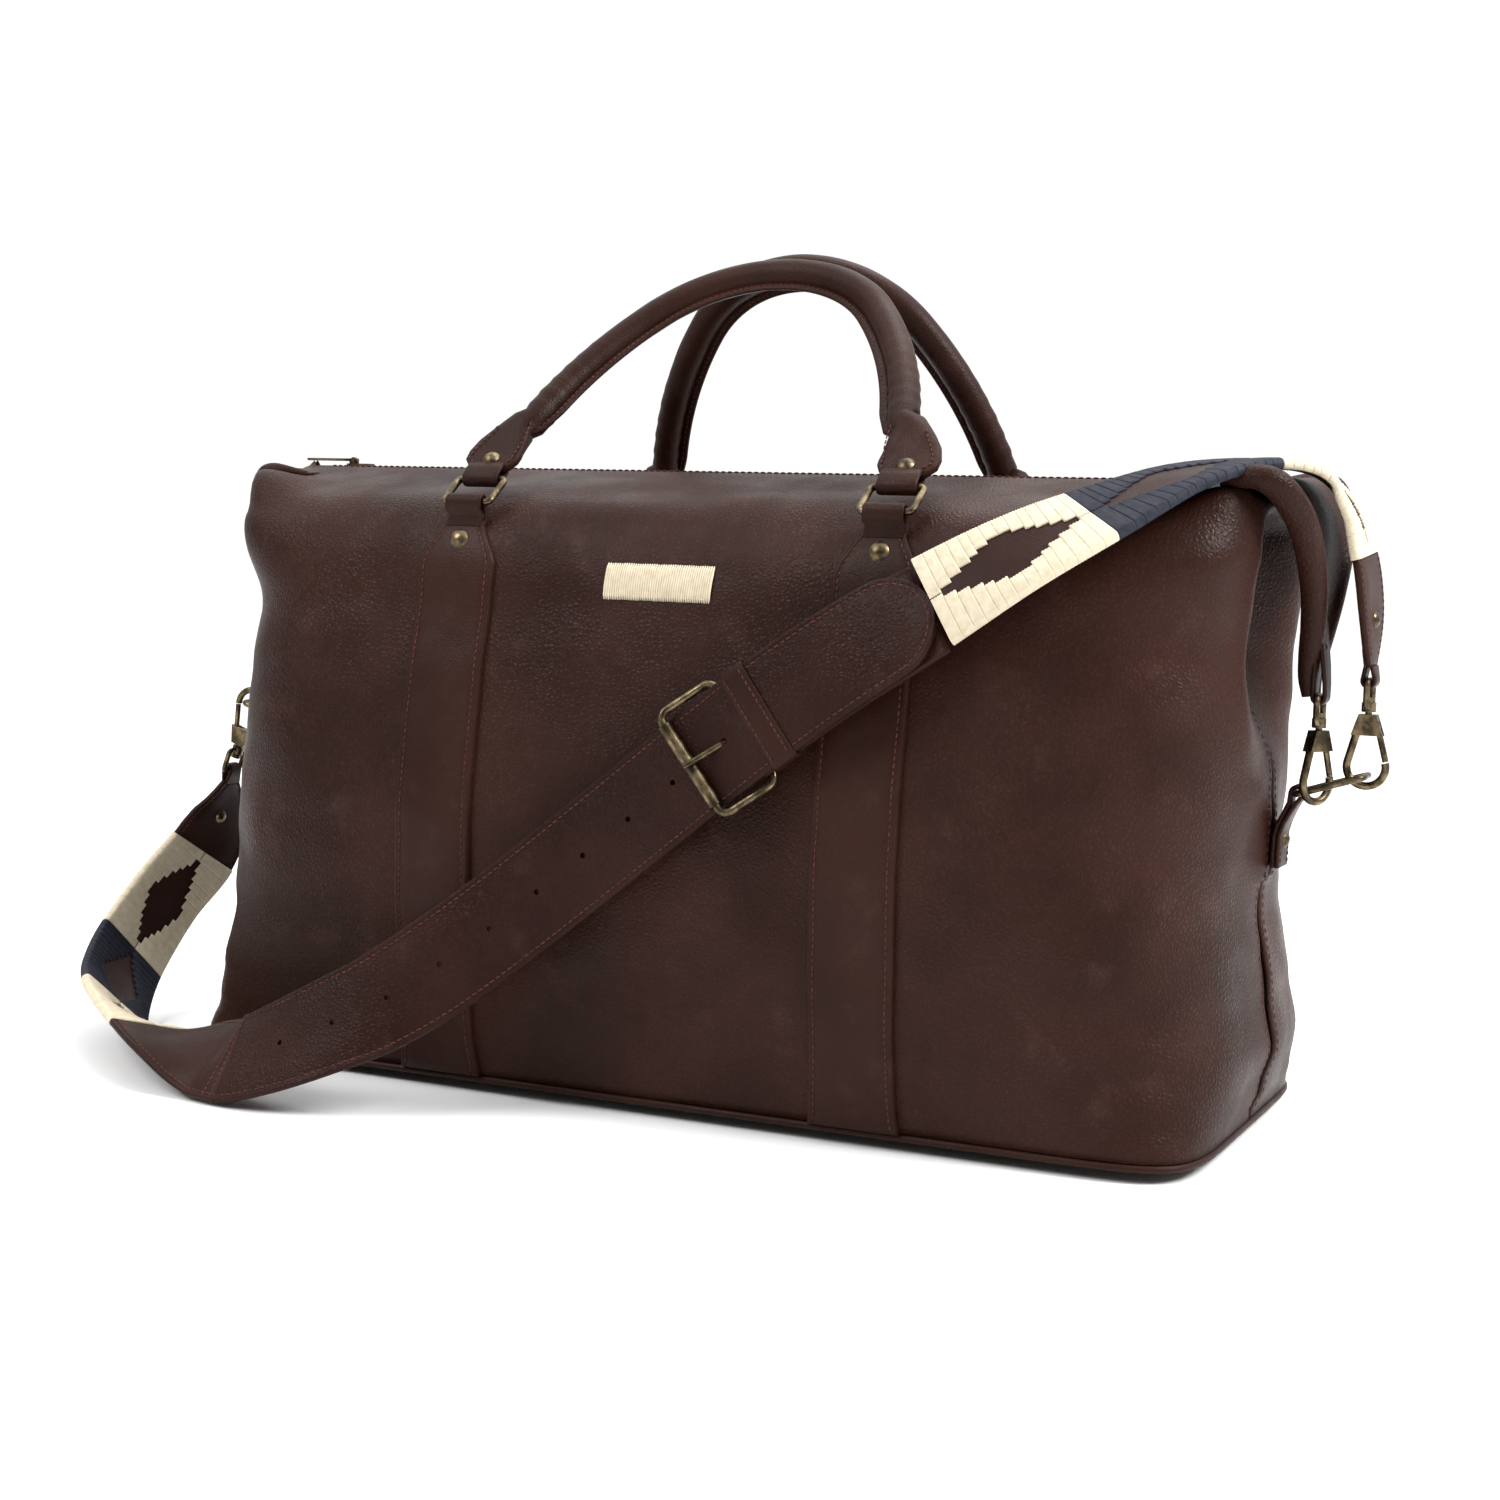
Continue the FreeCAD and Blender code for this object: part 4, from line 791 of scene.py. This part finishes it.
def handle_pieces(name, bar, ring_tilt, tilt, side):
    """A handle's leather: two flat tabs that close into a tube, loops round the rings, seam and stitching."""
    angle = math.radians(ring_tilt)
    origin = Vector((0, bar[0] + RING_H * math.sin(angle), bar[1] + RING_H * math.cos(angle)))
    lean = math.radians(tilt)
    up, face = Vector((0, math.sin(lean), math.cos(lean))), Vector((0, -math.cos(lean), math.sin(lean)))
    across_x = Vector((1, 0, 0))

    def place(x, h, out):
        return origin + across_x * x + up * h + face * out

    arch = arch_points(44.0)
    foot = [(STRIP_X + shift, h) for shift, h, _, _, _ in TAB]
    line = foot + arch + [(-x, h) for x, h in foot[::-1]]
    count = len(line)
    loops, centres = [], []
    for i, (x, h) in enumerate(line):
        a, b = line[max(i - 1, 0)], line[min(i + 1, count - 1)]
        run = math.hypot(b[0] - a[0], b[1] - a[1])
        tangent = ((b[0] - a[0]) / run, (b[1] - a[1]) / run)
        near = min(i, count - 1 - i)
        if near < 3:
            tangent = (0.0, 1.0) if i < count / 2 else (0.0, -1.0)
        inward = Vector((-tangent[1], 0, 0)) + up * tangent[0]
        if near < len(foot):
            wide, thick, sharp = TAB[near][2:]
        else:
            wide, thick, sharp = TUBE_R, TUBE_R, 2.0
            crease = 1 - smooth(0, 26, near - len(foot))
            ripple = 0.35 * math.sin(near * 2.1 + side) * crease
            ripple += 0.22 * noise.noise(Vector((i * 0.21, side, 0)))
            wide += ripple
            thick += ripple * 0.8
        centre = place(x, h, 0)
        loops.append([centre + inward * (wide * u) + face * (thick * v)
                      for u, v in squared_ring(28, 2 / sharp, 2 / sharp)])
        centres.append((centre, inward))
    parts = [loft(loops)]
    rims = []
    first, last = len(foot) - 3, count - len(foot) + 2
    fin_line = []
    for i in range(first, last + 1):
        centre, inward = centres[i]
        grow = smooth(0, 7, i - first) * smooth(0, 7, last - i)
        fin_line.append((centre + inward * (6.4 + 3.4 * grow), inward))
    parts.append(loft([[c + inward * x + face * z for x, z in FIN_SHAPE] for c, inward in fin_line]))
    for sign in (1, -1):
        rims.append(stitches([c + inward * 0.4 + face * (1.22 * sign) for c, inward in fin_line],
                             [face * sign] * len(fin_line), 3.3, 2.4, 0.38))
    for sign in (-1, 1):
        x = sign * STRIP_X
        path = [place(x, 8.2, 2.9), place(x, 4.5, 3.2)]
        path += turn(place(x, 0, 0), face, -up, LOOP_R, range(0, 181, 18))
        path += [place(x, 4.5, -3.2), place(x, 8.2, -2.9)]
        parts.append(ribbon(path_frames(path, across_x), LOOP_HALF, 1.05, 0.1, 0.12))
        outer = [(-10.8, 9.5), (-12.4, 13), (-12.6, 18), (-14.0, 25), (-14.4, 31), (-14.2, 37)]
        inner = [(9.0, 9.5), (12.6, 13), (12.6, 18), (9.6, 25), (6.4, 31), (4.0, 37)]
        for row in (outer, inner):
            points = [place(x + sign * u, h, -side * (2.75 + max(0, h - 20) * 0.13)) for u, h in row]
            rims.append(stitches(points, [face * -side] * len(points), 3.3, 2.4, 0.4, 0.0))
    add_piece(name + "_handle_leather", *joined(parts), TRIM, body=name + "_handle",
              stands_for=(name + "_handle_cover",))
    add_piece(name + "_handle_stitching", *joined(rims), BROWN_THREAD, body=name + "_handle")


# ---- ends: wings and tabs

WING_PATH = [(262, 316.5), (272, 318.2), (281, 318.5), (288, 315.5), (293.5, 308), (297.5, 297), (299, 282),
             (299, 266), (297.5, 250), (295.5, 236), (294.5, 226), (295.5, 217)]
WING_HALF = [60, 66, 68, 66, 60, 50, 38, 27, 19, 13.5, 10, 8.5]
WING_ROLL = [3.2, 4.6, 6.0, 7.0, 7.4, 7.2, 6.8, 6.4, 6.0, 5.4, 4.6, 3.4]


def wing_loop(centre, normal, half, roll):
    """Outline across a wing: a thin web with a rolled edge at each side."""
    web = 1.6
    outline = []
    for k in range(15):
        a = math.radians(150 - 300 * k / 14)
        outline.append((half - roll + roll * math.cos(a), roll * math.sin(a)))
    inner = max(0.4, half - 1.87 * roll)
    neck = [(0.65 * inner, web), (0.25 * inner, web)]
    right = [(x, z) for x, z in neck[::-1]] + outline + [(x, -z) for x, z in neck]
    left = [(-x, z) for x, z in right[::-1]]
    return [centre + Vector((0, x, 0)) + normal * z for x, z in right + left]


def wing_piece(name, sign):
    """Zip-end flap folded down over one end, with its edges rolled."""
    rows = [[*spot, half, roll] for spot, half, roll in zip(WING_PATH, WING_HALF, WING_ROLL)]
    fine = spline(rows, 4, rows[0], rows[-1])
    if sign < 0:
        fine = [(x - 10 * smooth(232, 268, z), z - 4.5 * smooth(296, 314, z),
                 half * (1 - 0.24 * smooth(262, 276, z)), roll * (0.9 - 0.2 * smooth(262, 300, z)))
                for x, z, half, roll in fine]
    loops = []
    for i, (x, z, half, roll) in enumerate(fine):
        a, b = fine[max(i - 1, 0)], fine[min(i + 1, len(fine) - 1)]
        along = Vector((b[0] - a[0], 0, b[1] - a[1])).normalized()
        normal = Vector((-along.z, 0, along.x))
        ripple = 0.5 * noise.noise(Vector((i * 0.23, sign, 4.0)))
        loop = wing_loop(Vector((x, -0.6, z)), normal, half + ripple, roll + 0.4 * ripple)
        loops.append([Vector((sign * p.x, p.y, p.z)) for p in loop])
    add_piece(name + "_wing_leather", *loft(loops), PANEL, stands_for=(name + "_wing",))


def tab_ribbon(path, widths, sign):
    """Folded tab leather along a path in the XZ plane."""
    points = [Vector((sign * x, y, z)) for x, y, z in path]
    return ribbon(path_frames(points, Vector((0, sign, 0))), lambda i: widths[i], 1.1, 0.1, 0.1)


def end_pieces():
    """Wings, wing tabs and end tabs with their stitching."""
    wing_piece("right", 1)
    wing_piece("left", -1)
    inwards = Vector((-1, 0, 0))
    arc = turn(Vector((291, 3, 170)), inwards, UP, 3.2, range(10, 208, 22))
    inner = [(281.6, 134), (281.7, 142), (282.0, 150), (283.6, 156), (285.8, 161), (287.4, 165.5)]
    outer = [(291.0, 165.6), (288.5, 161.2), (285.9, 155.6), (284.3, 150), (284.0, 142), (283.9, 134)]
    end_path = [(x, 3.0, z) for x, z in inner] + arc + [(x, 3.0, z) for x, z in outer]
    end_half = [9.6, 10, 10, 9.2, 7.4, 5.6]
    end_widths = end_half + [5.0] * len(arc) + end_half[::-1]
    eye = Vector((300.6, -4.7, 217.2))
    arc = turn(eye, inwards, -UP, 2.9, range(-10, 191, 20))
    inner = [(296.4, 252), (297.6, 242), (298.6, 232), (298.0, 224)]
    outer = [(303.4, 223), (302.6, 232), (301.2, 243), (300.2, 253)]
    wing_path = [(x, eye.y, z) for x, z in inner] + arc + [(x, eye.y, z) for x, z in outer]
    wing_half = [7.6, 7.8, 7.4, 6.0]
    wing_widths = wing_half + [5.0] * len(arc) + wing_half[::-1]
    seams = []
    for sign in (1, -1):
        run = [(-7.4, 136), (-7.8, 142), (-7.8, 150), (7.8, 150), (7.8, 142), (7.4, 136)]
        points = [Vector((sign * 285.25, 3 + u, z)) for u, z in run]
        seams.append(stitches(points, [Vector((sign, 0, 0))] * len(points), 3.2, 2.2, 0.36))
    for name, path, widths, node in (("end_tab_pair", end_path, end_widths, "end_tabs"),
                                     ("wing_tab_pair", wing_path, wing_widths, "wing_tabs")):
        pair = [tab_ribbon(path, widths, sign) for sign in (1, -1)]
        add_piece(name, *joined(pair), TRIM, stands_for=(node,))
    add_piece("end_tab_stitching", *joined(seams), BROWN_THREAD)


# ---- shoulder strap

STRAP_W = 50.0
SEAM_INSET, SEAM_LIFT = 3.4, 1.86
THREAD_PITCH = 1.5
HOLE_PITCH, HOLE_R, HOLES = 30.0, 1.4, 9
HEEL = (28.0, -6.4)            # the buckle's heel bar, from its roller
RIGHT_EYE = (322.0, 3.0, 225.5)
LEFT_HOOK, LEFT_LEAN, HOOK_LENGTH = (-319.1, 3.0, 187.9), math.radians(200.4), 52.0
ROUTE = [
    ((322, 3, 232), (0.0, 1.0, 0.0)),
    ((321, 3, 258), (0.0, 1.0, 0.0)),
    ((317, 2, 284), (0.0, 1.0, 0.0)),
    ((309, -1, 306), (-0.08, 0.99, 0.0)),
    ((294, -10, 322), (-0.22, 0.97, 0.0)),
    ((270, -32, 325), (-0.42, 0.90, 0.02)),
    ((245, -64, 318), (-0.60, 0.79, 0.14)),
    ((214, -98, 299), (-0.72, 0.60, 0.34)),
    ((182, -116, 280), (-0.72, 0.48, 0.49)),
    ((150, -127, 259), (-0.70, 0.34, 0.62)),
    ((113, -133, 235), (-0.66, 0.18, 0.73)),
    ((75, -136, 208), (-0.62, 0.08, 0.78)),
    ((37, -136, 178), (-0.60, 0.04, 0.80)),
    ((-8, -138, 141), (-0.63, 0.00, 0.77)),
    ((-55, -148, 101), (-0.64, -0.03, 0.77)),
    ((-86, -165, 74), (-0.60, -0.05, 0.80)),
    ((-110, -179, 56), (-0.56, 0.14, 0.82)),
    ((-129, -186, 46), (-0.50, 0.31, 0.80)),
    ((-159, -192, 32), (-0.35, 0.52, 0.78)),
    ((-189, -190, 21), (-0.06, 0.65, 0.76)),
    ((-207, -184, 20), (0.22, 0.77, 0.60)),
    ((-235, -174, 23), (0.39, 0.91, 0.14)),
    ((-262, -160, 22), (0.47, 0.85, -0.26)),
    ((-298, -138, 20), (0.47, 0.64, -0.61)),
    ((-323, -117, 20), (0.46, 0.54, -0.70)),
    ((-344, -92, 24), (0.44, 0.52, -0.74)),
    ((-362, -57, 38), (0.31, 0.61, -0.72)),
    ((-361, -26, 66), (0.18, 0.69, -0.70)),
    ((-351, -6, 90), (0.18, 0.76, -0.62)),
    ((-344, 1, 113), (0.10, 0.95, -0.24)),
    ((-338, 3, 132), (0.0, 1.0, 0.0)),
]
RIGHT_END, CREAM_1, NAVY_1, CREAM_2, ANCHOR, ROLLER = 0, 2, 5, 7, 9, 12
SEAM, CREAM_3, NAVY_2, CREAM_4, LEFT_END, LAST = 19, 22, 24, 26, 28, 30
STEPS = 12


def strap_frames():
    """Closely spaced sections along the strap's smooth route."""
    values = [list(c) + list(a) for c, a in ROUTE]
    before, after = ([2 * p - q for p, q in zip(*pair)] for pair in (values[:2], values[:-3:-1]))
    rows = spline(values, STEPS, before, after)
    frames = []
    for i, row in enumerate(rows):
        before, after = rows[max(i - 1, 0)], rows[min(i + 1, len(rows) - 1)]
        along = (Vector(after[:3]) - Vector(before[:3])).normalized()
        across = Vector(row[3:])
        across = (across - along * across.dot(along)).normalized()
        out = across.cross(along)
        lowest = abs(across.z) * STRAP_W / 2 + abs(out.z) * 3.0 + 0.4
        frames.append((Vector((row[0], row[1], max(row[2], lowest))), along, across, out))
    return frames


def between(frames, first, last):
    """Sections between two stations of the route."""
    return frames[first * STEPS:last * STEPS + 1]


def run_length(frames):
    """Length along sections."""
    return sum((b[0] - a[0]).length for a, b in zip(frames, frames[1:]))


def at_distance(frames, distance):
    """Section at a distance along the strap."""
    walked = 0.0
    for a, b in zip(frames, frames[1:]):
        step = (b[0] - a[0]).length
        if walked + step >= distance:
            t = (distance - walked) / step
            return tuple(p.lerp(q, t) for p, q in zip(a, b))
        walked += step
    return frames[-1]


def evenly(frames, spacing):
    """Sections at even distances."""
    total = run_length(frames)
    count = max(2, round(total / spacing))
    return [at_distance(frames, total * k / count) for k in range(count + 1)]


def edge_rows(frames):
    """Stitching along both edges of a strap."""
    parts = []
    for sign in (-1, 1):
        aside = sign * (STRAP_W / 2 - SEAM_INSET)
        points = [c + across * aside + out * SEAM_LIFT for c, _, across, out in frames]
        parts.append(stitches(points, [f[3] for f in frames], 3.5, 2.6, 0.43))
    return joined(parts)


def wrap_block(frames, first, last, inner, sign):
    """Threads wrapped from the lozenge's edge round one edge of the strap; every other section is a crest."""
    half = STRAP_W / 2
    loops = []
    for i in range(first, last + 1):
        centre, _, across, out = frames[i]
        crest = 0.0 if i % 2 == 0 else 0.5
        edge, low = half - 0.1 + 0.3 * crest, 2.3 + 0.4 * crest
        top = 2.62 + crest + 0.12 * noise.noise(Vector((i * 0.31, sign, inner * 0.2)))
        outline = [(inner, 1.6), (inner + 0.05, top - 0.35), (inner + 0.45, top),
                   (0.5 * (inner + half), top + 0.12), (half - 2.4, top), (half - 1.0, top - 0.3),
                   (edge, 1.3), (edge + 0.25, 0.0), (edge, -1.4), (half - 1.0, 0.1 - low), (half - 3.0, -low),
                   (half - 3.4, -1.5), (half - 1.6, -1.0), (half - 1.6, 1.0), (half - 3.0, 1.6)]
        loops.append([centre + across * (sign * x) + out * z for x, z in outline])
    return loft(loops)


def woven_piece(name, frames, colour, lozenge, steps, widest, slot):
    """One thread-wrapped length: leather core, and threads leaving a stepped lozenge of leather bare."""
    total = run_length(frames)
    threads = int(total / THREAD_PITCH)
    rows = [at_distance(frames, total * k / (2 * threads)) for k in range(2 * threads + 1)]
    add_piece(name + "_core", *ribbon(evenly(frames, 3.0), STRAP_W / 2 - 1.2, 1.75, 0.1, 0.0), STRAP)
    group = lozenge * threads / steps
    border = [0] + [int(round(threads / 2 + k * group)) for k in range(-steps, steps + 1)] + [threads]
    parts = []
    for sign in (-1, 1):
        for g, (a, b) in enumerate(zip(border, border[1:])):
            order = min(g, len(border) - 2 - g)
            inner = 0.32 if order == 0 else widest * order / steps
            if b > a:
                parts.append(wrap_block(rows, 2 * a, 2 * b, inner, sign))
    add_piece(name + "_threads", *joined(parts), colour, stands_for=(name,), slot=slot)


def drill(obj, spots):
    """Cuts round holes through a strap at the given sections."""
    pins = [tube([centre - out * 4, centre + out * 4], HOLE_R, 20) for centre, _, _, out in spots]
    mesh = new_mesh("holes", *joined(pins))
    face_outwards(mesh)
    cutter = bpy.data.objects.new("holes", mesh)
    bpy.context.scene.collection.objects.link(cutter)
    cut = obj.modifiers.new("holes", "BOOLEAN")
    cut.operation = "DIFFERENCE"
    cut.solver = "EXACT"
    cut.use_self = True
    cut.object = cutter
    bpy.context.view_layer.update()
    shaped = bpy.data.meshes.new_from_object(obj.evaluated_get(bpy.context.evaluated_depsgraph_get()))
    obj.modifiers.clear()
    shaped.set_sharp_from_angle(angle=math.radians(50))
    obj.data = shaped
    bpy.data.objects.remove(cutter)


def billet_piece(over, tail):
    """Strap tail with its round tip and its holes."""
    half, length = STRAP_W / 2, run_length(tail)
    distances = [half * (1 - math.cos(math.pi / 2 * k / 12)) for k in range(1, 13)]
    distances += [half + (length - half) * k / 150 for k in range(1, 151)]
    widths = [math.sqrt(half ** 2 - (half - min(half, d)) ** 2) for d in distances]
    shape = ribbon([at_distance(tail, d) for d in distances], lambda i: widths[i], 1.8, 0.1, 0.22)
    billet = add_piece("billet_leather", *shape, BILLET, stands_for=("strap_billet",))
    start = run_length(over)
    spots = [at_distance(tail, start + 14.0 + HOLE_PITCH * k) for k in range(HOLES)]
    drill(billet, spots + [at_distance(tail, start - 14.0 - 3.0 * k) for k in range(3)])


def tip_stitching(tail):
    """Stitching along the tail's edges and round its tip."""
    length = run_length(tail)
    rows = [edge_rows([at_distance(tail, 24 + (length - 26) * k / 200) for k in range(201)])]
    tip, normals = [], []
    for k in range(41):
        a = math.pi * k / 40 - math.pi / 2
        c, _, across, out = at_distance(tail, max(3.0, 25.0 - 21.6 * math.cos(a)))
        tip.append(c + across * (21.6 * math.sin(a)) + out * SEAM_LIFT)
        normals.append(out)
    return rows + [stitches(tip, normals, 3.5, 2.6, 0.43)]


def anchor_piece(over, roller):
    """Leather under the tail, folded round the buckle's heel bar on both sides of the prong."""
    centre, along, across, out = roller

    def spot(x, y, z):
        return centre - along * x + across * y + out * z

    under = [at_distance(over, 3.0 + (run_length(over) - 34.0) * k / 30) for k in range(31)]
    parts = [ribbon([(c - o * 4.1, a, w, o) for c, a, w, o in under], 25.0, 1.6, 0.0, 0.2)]
    x, z = HEEL
    for low, high in ((-25.0, -2.8), (2.8, 25.0)):
        mid = 0.5 * (low + high)
        path = [spot(x + 9, mid, z + 2.6)] + turn(spot(x, mid, z), out, -along, 3.1, range(10, -191, -20))
        path += [spot(x + 9, mid, z - 2.8), spot(x + 20, mid, z - 1.2)]
        parts.append(ribbon(path_frames(path, across), (high - low) / 2, 1.05, 0.0, 0.1))
    add_piece("anchor_leather", *joined(parts), STRAP, stands_for=("strap_anchor",))


def keeper_piece(place):
    """Loop round both layers of strap; gives back its two rows of stitching."""
    centre, along, across, out = place

    def ring(x, half_w, half_t, powers):
        return [centre - along * x + across * (half_w * u) + out * (half_t * v - 2.05)
                for u, v in squared_ring(48, *powers)]

    edge = ((-7.0, -0.2), (-6.4, 0.25), (-4.4, 0.4), (0.0, 0.5), (4.4, 0.4), (6.4, 0.25), (7.0, -0.2))
    loops = [ring(x, 26.2 + grow, 5.2 + grow, (0.28, 0.4)) for x, grow in edge]
    loops += [ring(x, 25.4, 4.3, (0.22, 0.3)) for x in (7.0, -7.0)]
    add_piece("keeper_leather", *loft(loops, closed=True), STRAP, stands_for=("strap_keeper",))
    rows = []
    for x in (-4.6, 4.6):
        points = [centre - along * x + across * (-23 + 46 * k / 20) + out * 3.6 for k in range(21)]
        rows.append(stitches(points, [out] * 21, 3.3, 2.4, 0.42))
    return rows


def buckle_end(frames):
    """Billet with its holes, anchor leather folded round the heel bar, and keeper."""
    over, tail = between(frames, ANCHOR, ROLLER), between(frames, ANCHOR, SEAM)
    billet_piece(over, tail)
    anchor_piece(over, frames[ROLLER * STEPS])
    rows = keeper_piece(at_distance(over, run_length(over) - 41.0))
    add_piece("billet_stitching", *joined(tip_stitching(tail) + rows), BROWN_THREAD)


def strap_end_piece(name, frames, eye):
    """Leather end that narrows and folds round its hook's eye."""
    cuts = evenly(frames, 2.5)
    total = run_length(frames)

    def half_w(i):
        share = min(1.0, (total * i / (len(cuts) - 1)) / 34.0)
        return 0.5 * (15.0 + (STRAP_W - 1 - 15.0) * math.sin(share * math.pi / 2))

    parts = [ribbon(cuts, half_w, 1.75, 0.2, 0.22)]
    start, _, _, out = cuts[1]
    eye = Vector(eye)
    down = (eye - start).normalized()
    loop = [start + down * 2 + out * 1.6] + turn(eye, out, down, 2.9, range(-10, 191, 20))
    loop += [start + down * 2 - out * 1.6, start - down * 6 - out * 2.4]
    widths = [7.0] + [5.0] * (len(loop) - 2) + [7.0]
    parts.append(ribbon(path_frames(loop, Vector((0, 1, 0))), lambda i: widths[i], 1.0, 0, 0.1))
    add_piece(name + "_end_leather", *joined(parts), STRAP, stands_for=("strap_end_" + name,))
    rows = []
    for sign in (-1, 1):
        points = [c + across * (sign * (half_w(i) - 3.2)) + out * 1.85
                  for i, (c, _, across, out) in enumerate(cuts)]
        rows.append(stitches(points[2:], [f[3] for f in cuts][2:], 3.4, 2.5, 0.42))
    return joined(rows)


def strap_pieces():
    """The whole shoulder strap."""
    frames = strap_frames()
    buckle_end(frames)
    lower = between(frames, SEAM, CREAM_3)
    cuts = evenly(lower, 2.0)
    shape = ribbon(cuts, STRAP_W / 2, 1.8, 0.1, 0.22)
    add_piece("strap_lower_leather", *shape, STRAP, stands_for=("strap_lower",))
    rows = [edge_rows(cuts)]
    for offset in (2.2, 5.0):
        c, _, across, out = at_distance(lower, offset)
        points = [c + across * (-24 + 48 * k / 24) + out * 1.9 for k in range(25)]
        rows.append(stitches(points, [out] * 25, 3.0, 2.3, 0.42))
    cream, navy = (CREAM, 0.42, 6, 14.0, "cream_thread"), (NAVY, 0.42, 7, 14.0, "navy_thread")
    for name, first, last in (("cream_1", CREAM_1, NAVY_1), ("navy_1", NAVY_1, CREAM_2),
                              ("cream_2", CREAM_2, ANCHOR), ("cream_3", CREAM_3, NAVY_2),
                              ("navy_2", NAVY_2, CREAM_4), ("cream_4", CREAM_4, LEFT_END)):
        woven_piece("woven_" + name, between(frames, first, last), *(cream if name[0] == "c" else navy))
    rows.append(strap_end_piece("right", between(frames, RIGHT_END, CREAM_1), RIGHT_EYE))
    x, y, z = LEFT_HOOK
    left_eye = (x + HOOK_LENGTH * math.sin(LEFT_LEAN), y, z + HOOK_LENGTH * math.cos(LEFT_LEAN))
    left = [(c, -along, across, out) for c, along, across, out in between(frames, LEFT_END, LAST)][::-1]
    rows.append(strap_end_piece("left", left, left_eye))
    add_piece("strap_stitching", *joined(rows), BROWN_THREAD)


# ---- finish of the CAD pieces

SLOT_LOOKS = {"brass": BRASS, "zip_coil": COIL, "rope": ROPE, "board": BOARD, "leather": TRIM,
              "lining_cloth": LINING, "zip_tape": TAPE, "cream_thread": CREAM, "navy_thread": NAVY}


def finish_nodes():
    """Every CAD node gets its slot's material."""
    slots = {part["node"]: part["material_slot"] for part in frame["record"]["subparts"]}
    for name, obj in nodes.items():
        obj.data.materials.clear()
        obj.data.materials.append(SLOT_LOOKS[slots.get(name, "brass")])


# ---- floor, light and camera

def sweep(tree):
    """White sweep behind the bag and all round its horizon, bright ceiling, darker room in front."""
    place = add_node(tree, "ShaderNodeTexCoord", "Generated", {})
    y, z = (add_node(tree, "ShaderNodeSeparateXYZ", axis, {"Vector": place}) for axis in "YZ")
    walls = add_node(tree, "ShaderNodeMath", "Value", {0: add_ramp(tree, y, -0.1, 0.4, 0.12, 1.02),
                                                       1: add_ramp(tree, z, 0.07, 0.16, 1.02, 0.12)},
                     operation="MAXIMUM")
    total = add_node(tree, "ShaderNodeMath", "Value", {0: walls, 1: add_ramp(tree, z, 0.3, 0.75, 0.0, 1.0)},
                     operation="ADD")
    background = tree.nodes["Background"]
    background.inputs["Color"].default_value = (1, 1, 1, 1)
    tree.links.new(total, background.inputs["Strength"])


def stage_and_light():
    """Pale floor and soft white studio light."""
    mesh = bpy.data.meshes.new("floor")
    mesh.from_pydata([(-30, -30, 0), (30, -30, 0), (30, 30, 0), (-30, 30, 0)], [], [(0, 1, 2, 3)])
    floor = bpy.data.objects.new("floor", mesh)
    bpy.context.scene.collection.objects.link(floor)
    mesh.materials.append(material("pale_floor", (0.86, 0.86, 0.86), 0.6, specular=0.25))
    world = bpy.data.worlds.new("studio")
    bpy.context.scene.world = world
    world.use_nodes = True
    sweep(world.node_tree)
    bpy.context.scene.view_settings.view_transform = "Standard"
    for name, place, target, size, power in (
            ("key", (-1.3, -1.6, 2.0), (0, 0, 0.2), 1.3, 52),
            ("side", (1.7, 0.0, 1.5), (0.25, 0, 0.25), 0.8, 60),
            ("top", (0.2, 0.7, 2.4), (0, 0, 0.3), 1.6, 32)):
        light = bpy.data.lights.new(name, "AREA")
        light.size = size
        light.energy = power
        obj = bpy.data.objects.new(name, light)
        obj.location = place
        obj.rotation_euler = (Vector(target) - Vector(place)).to_track_quat("-Z", "Y").to_euler()
        bpy.context.scene.collection.objects.link(obj)


CAMERA_PLACE, CAMERA_LENS = (0.5416, -1.1531, 0.2972), 58.1088
CAMERA_YAW_PITCH_ROLL = (25.1, 5.6, 1.4)


def view_camera():
    """Camera at the reference viewing angle."""
    yaw, pitch, roll = map(math.radians, CAMERA_YAW_PITCH_ROLL)
    forward = Vector((-math.sin(yaw) * math.cos(pitch), math.cos(yaw) * math.cos(pitch), -math.sin(pitch)))
    level = Vector((math.cos(yaw), math.sin(yaw), 0))
    upright = level.cross(forward)
    right = level * math.cos(roll) + upright * math.sin(roll)
    top = upright * math.cos(roll) - level * math.sin(roll)
    data = bpy.data.cameras.new("photo_view")
    data.sensor_width = 36.0
    data.lens = CAMERA_LENS
    camera = bpy.data.objects.new("photo_view", data)
    bpy.context.scene.collection.objects.link(camera)
    turned = Matrix((right, top, -forward)).transposed().to_4x4()
    camera.matrix_world = Matrix.Translation(CAMERA_PLACE) @ turned
    bpy.context.scene.camera = camera


def main():
    """Builds every piece, then the stage."""
    body_pieces()
    strip_pieces()
    handle_pieces("front", (-FRONT_BAR[0], FRONT_BAR[1]), 53.3, 46.0, -1)
    handle_pieces("back", BACK_BAR, 127.7, -23.0, 1)
    end_pieces()
    strap_pieces()
    finish_nodes()
    stage_and_light()
    view_camera()


main()
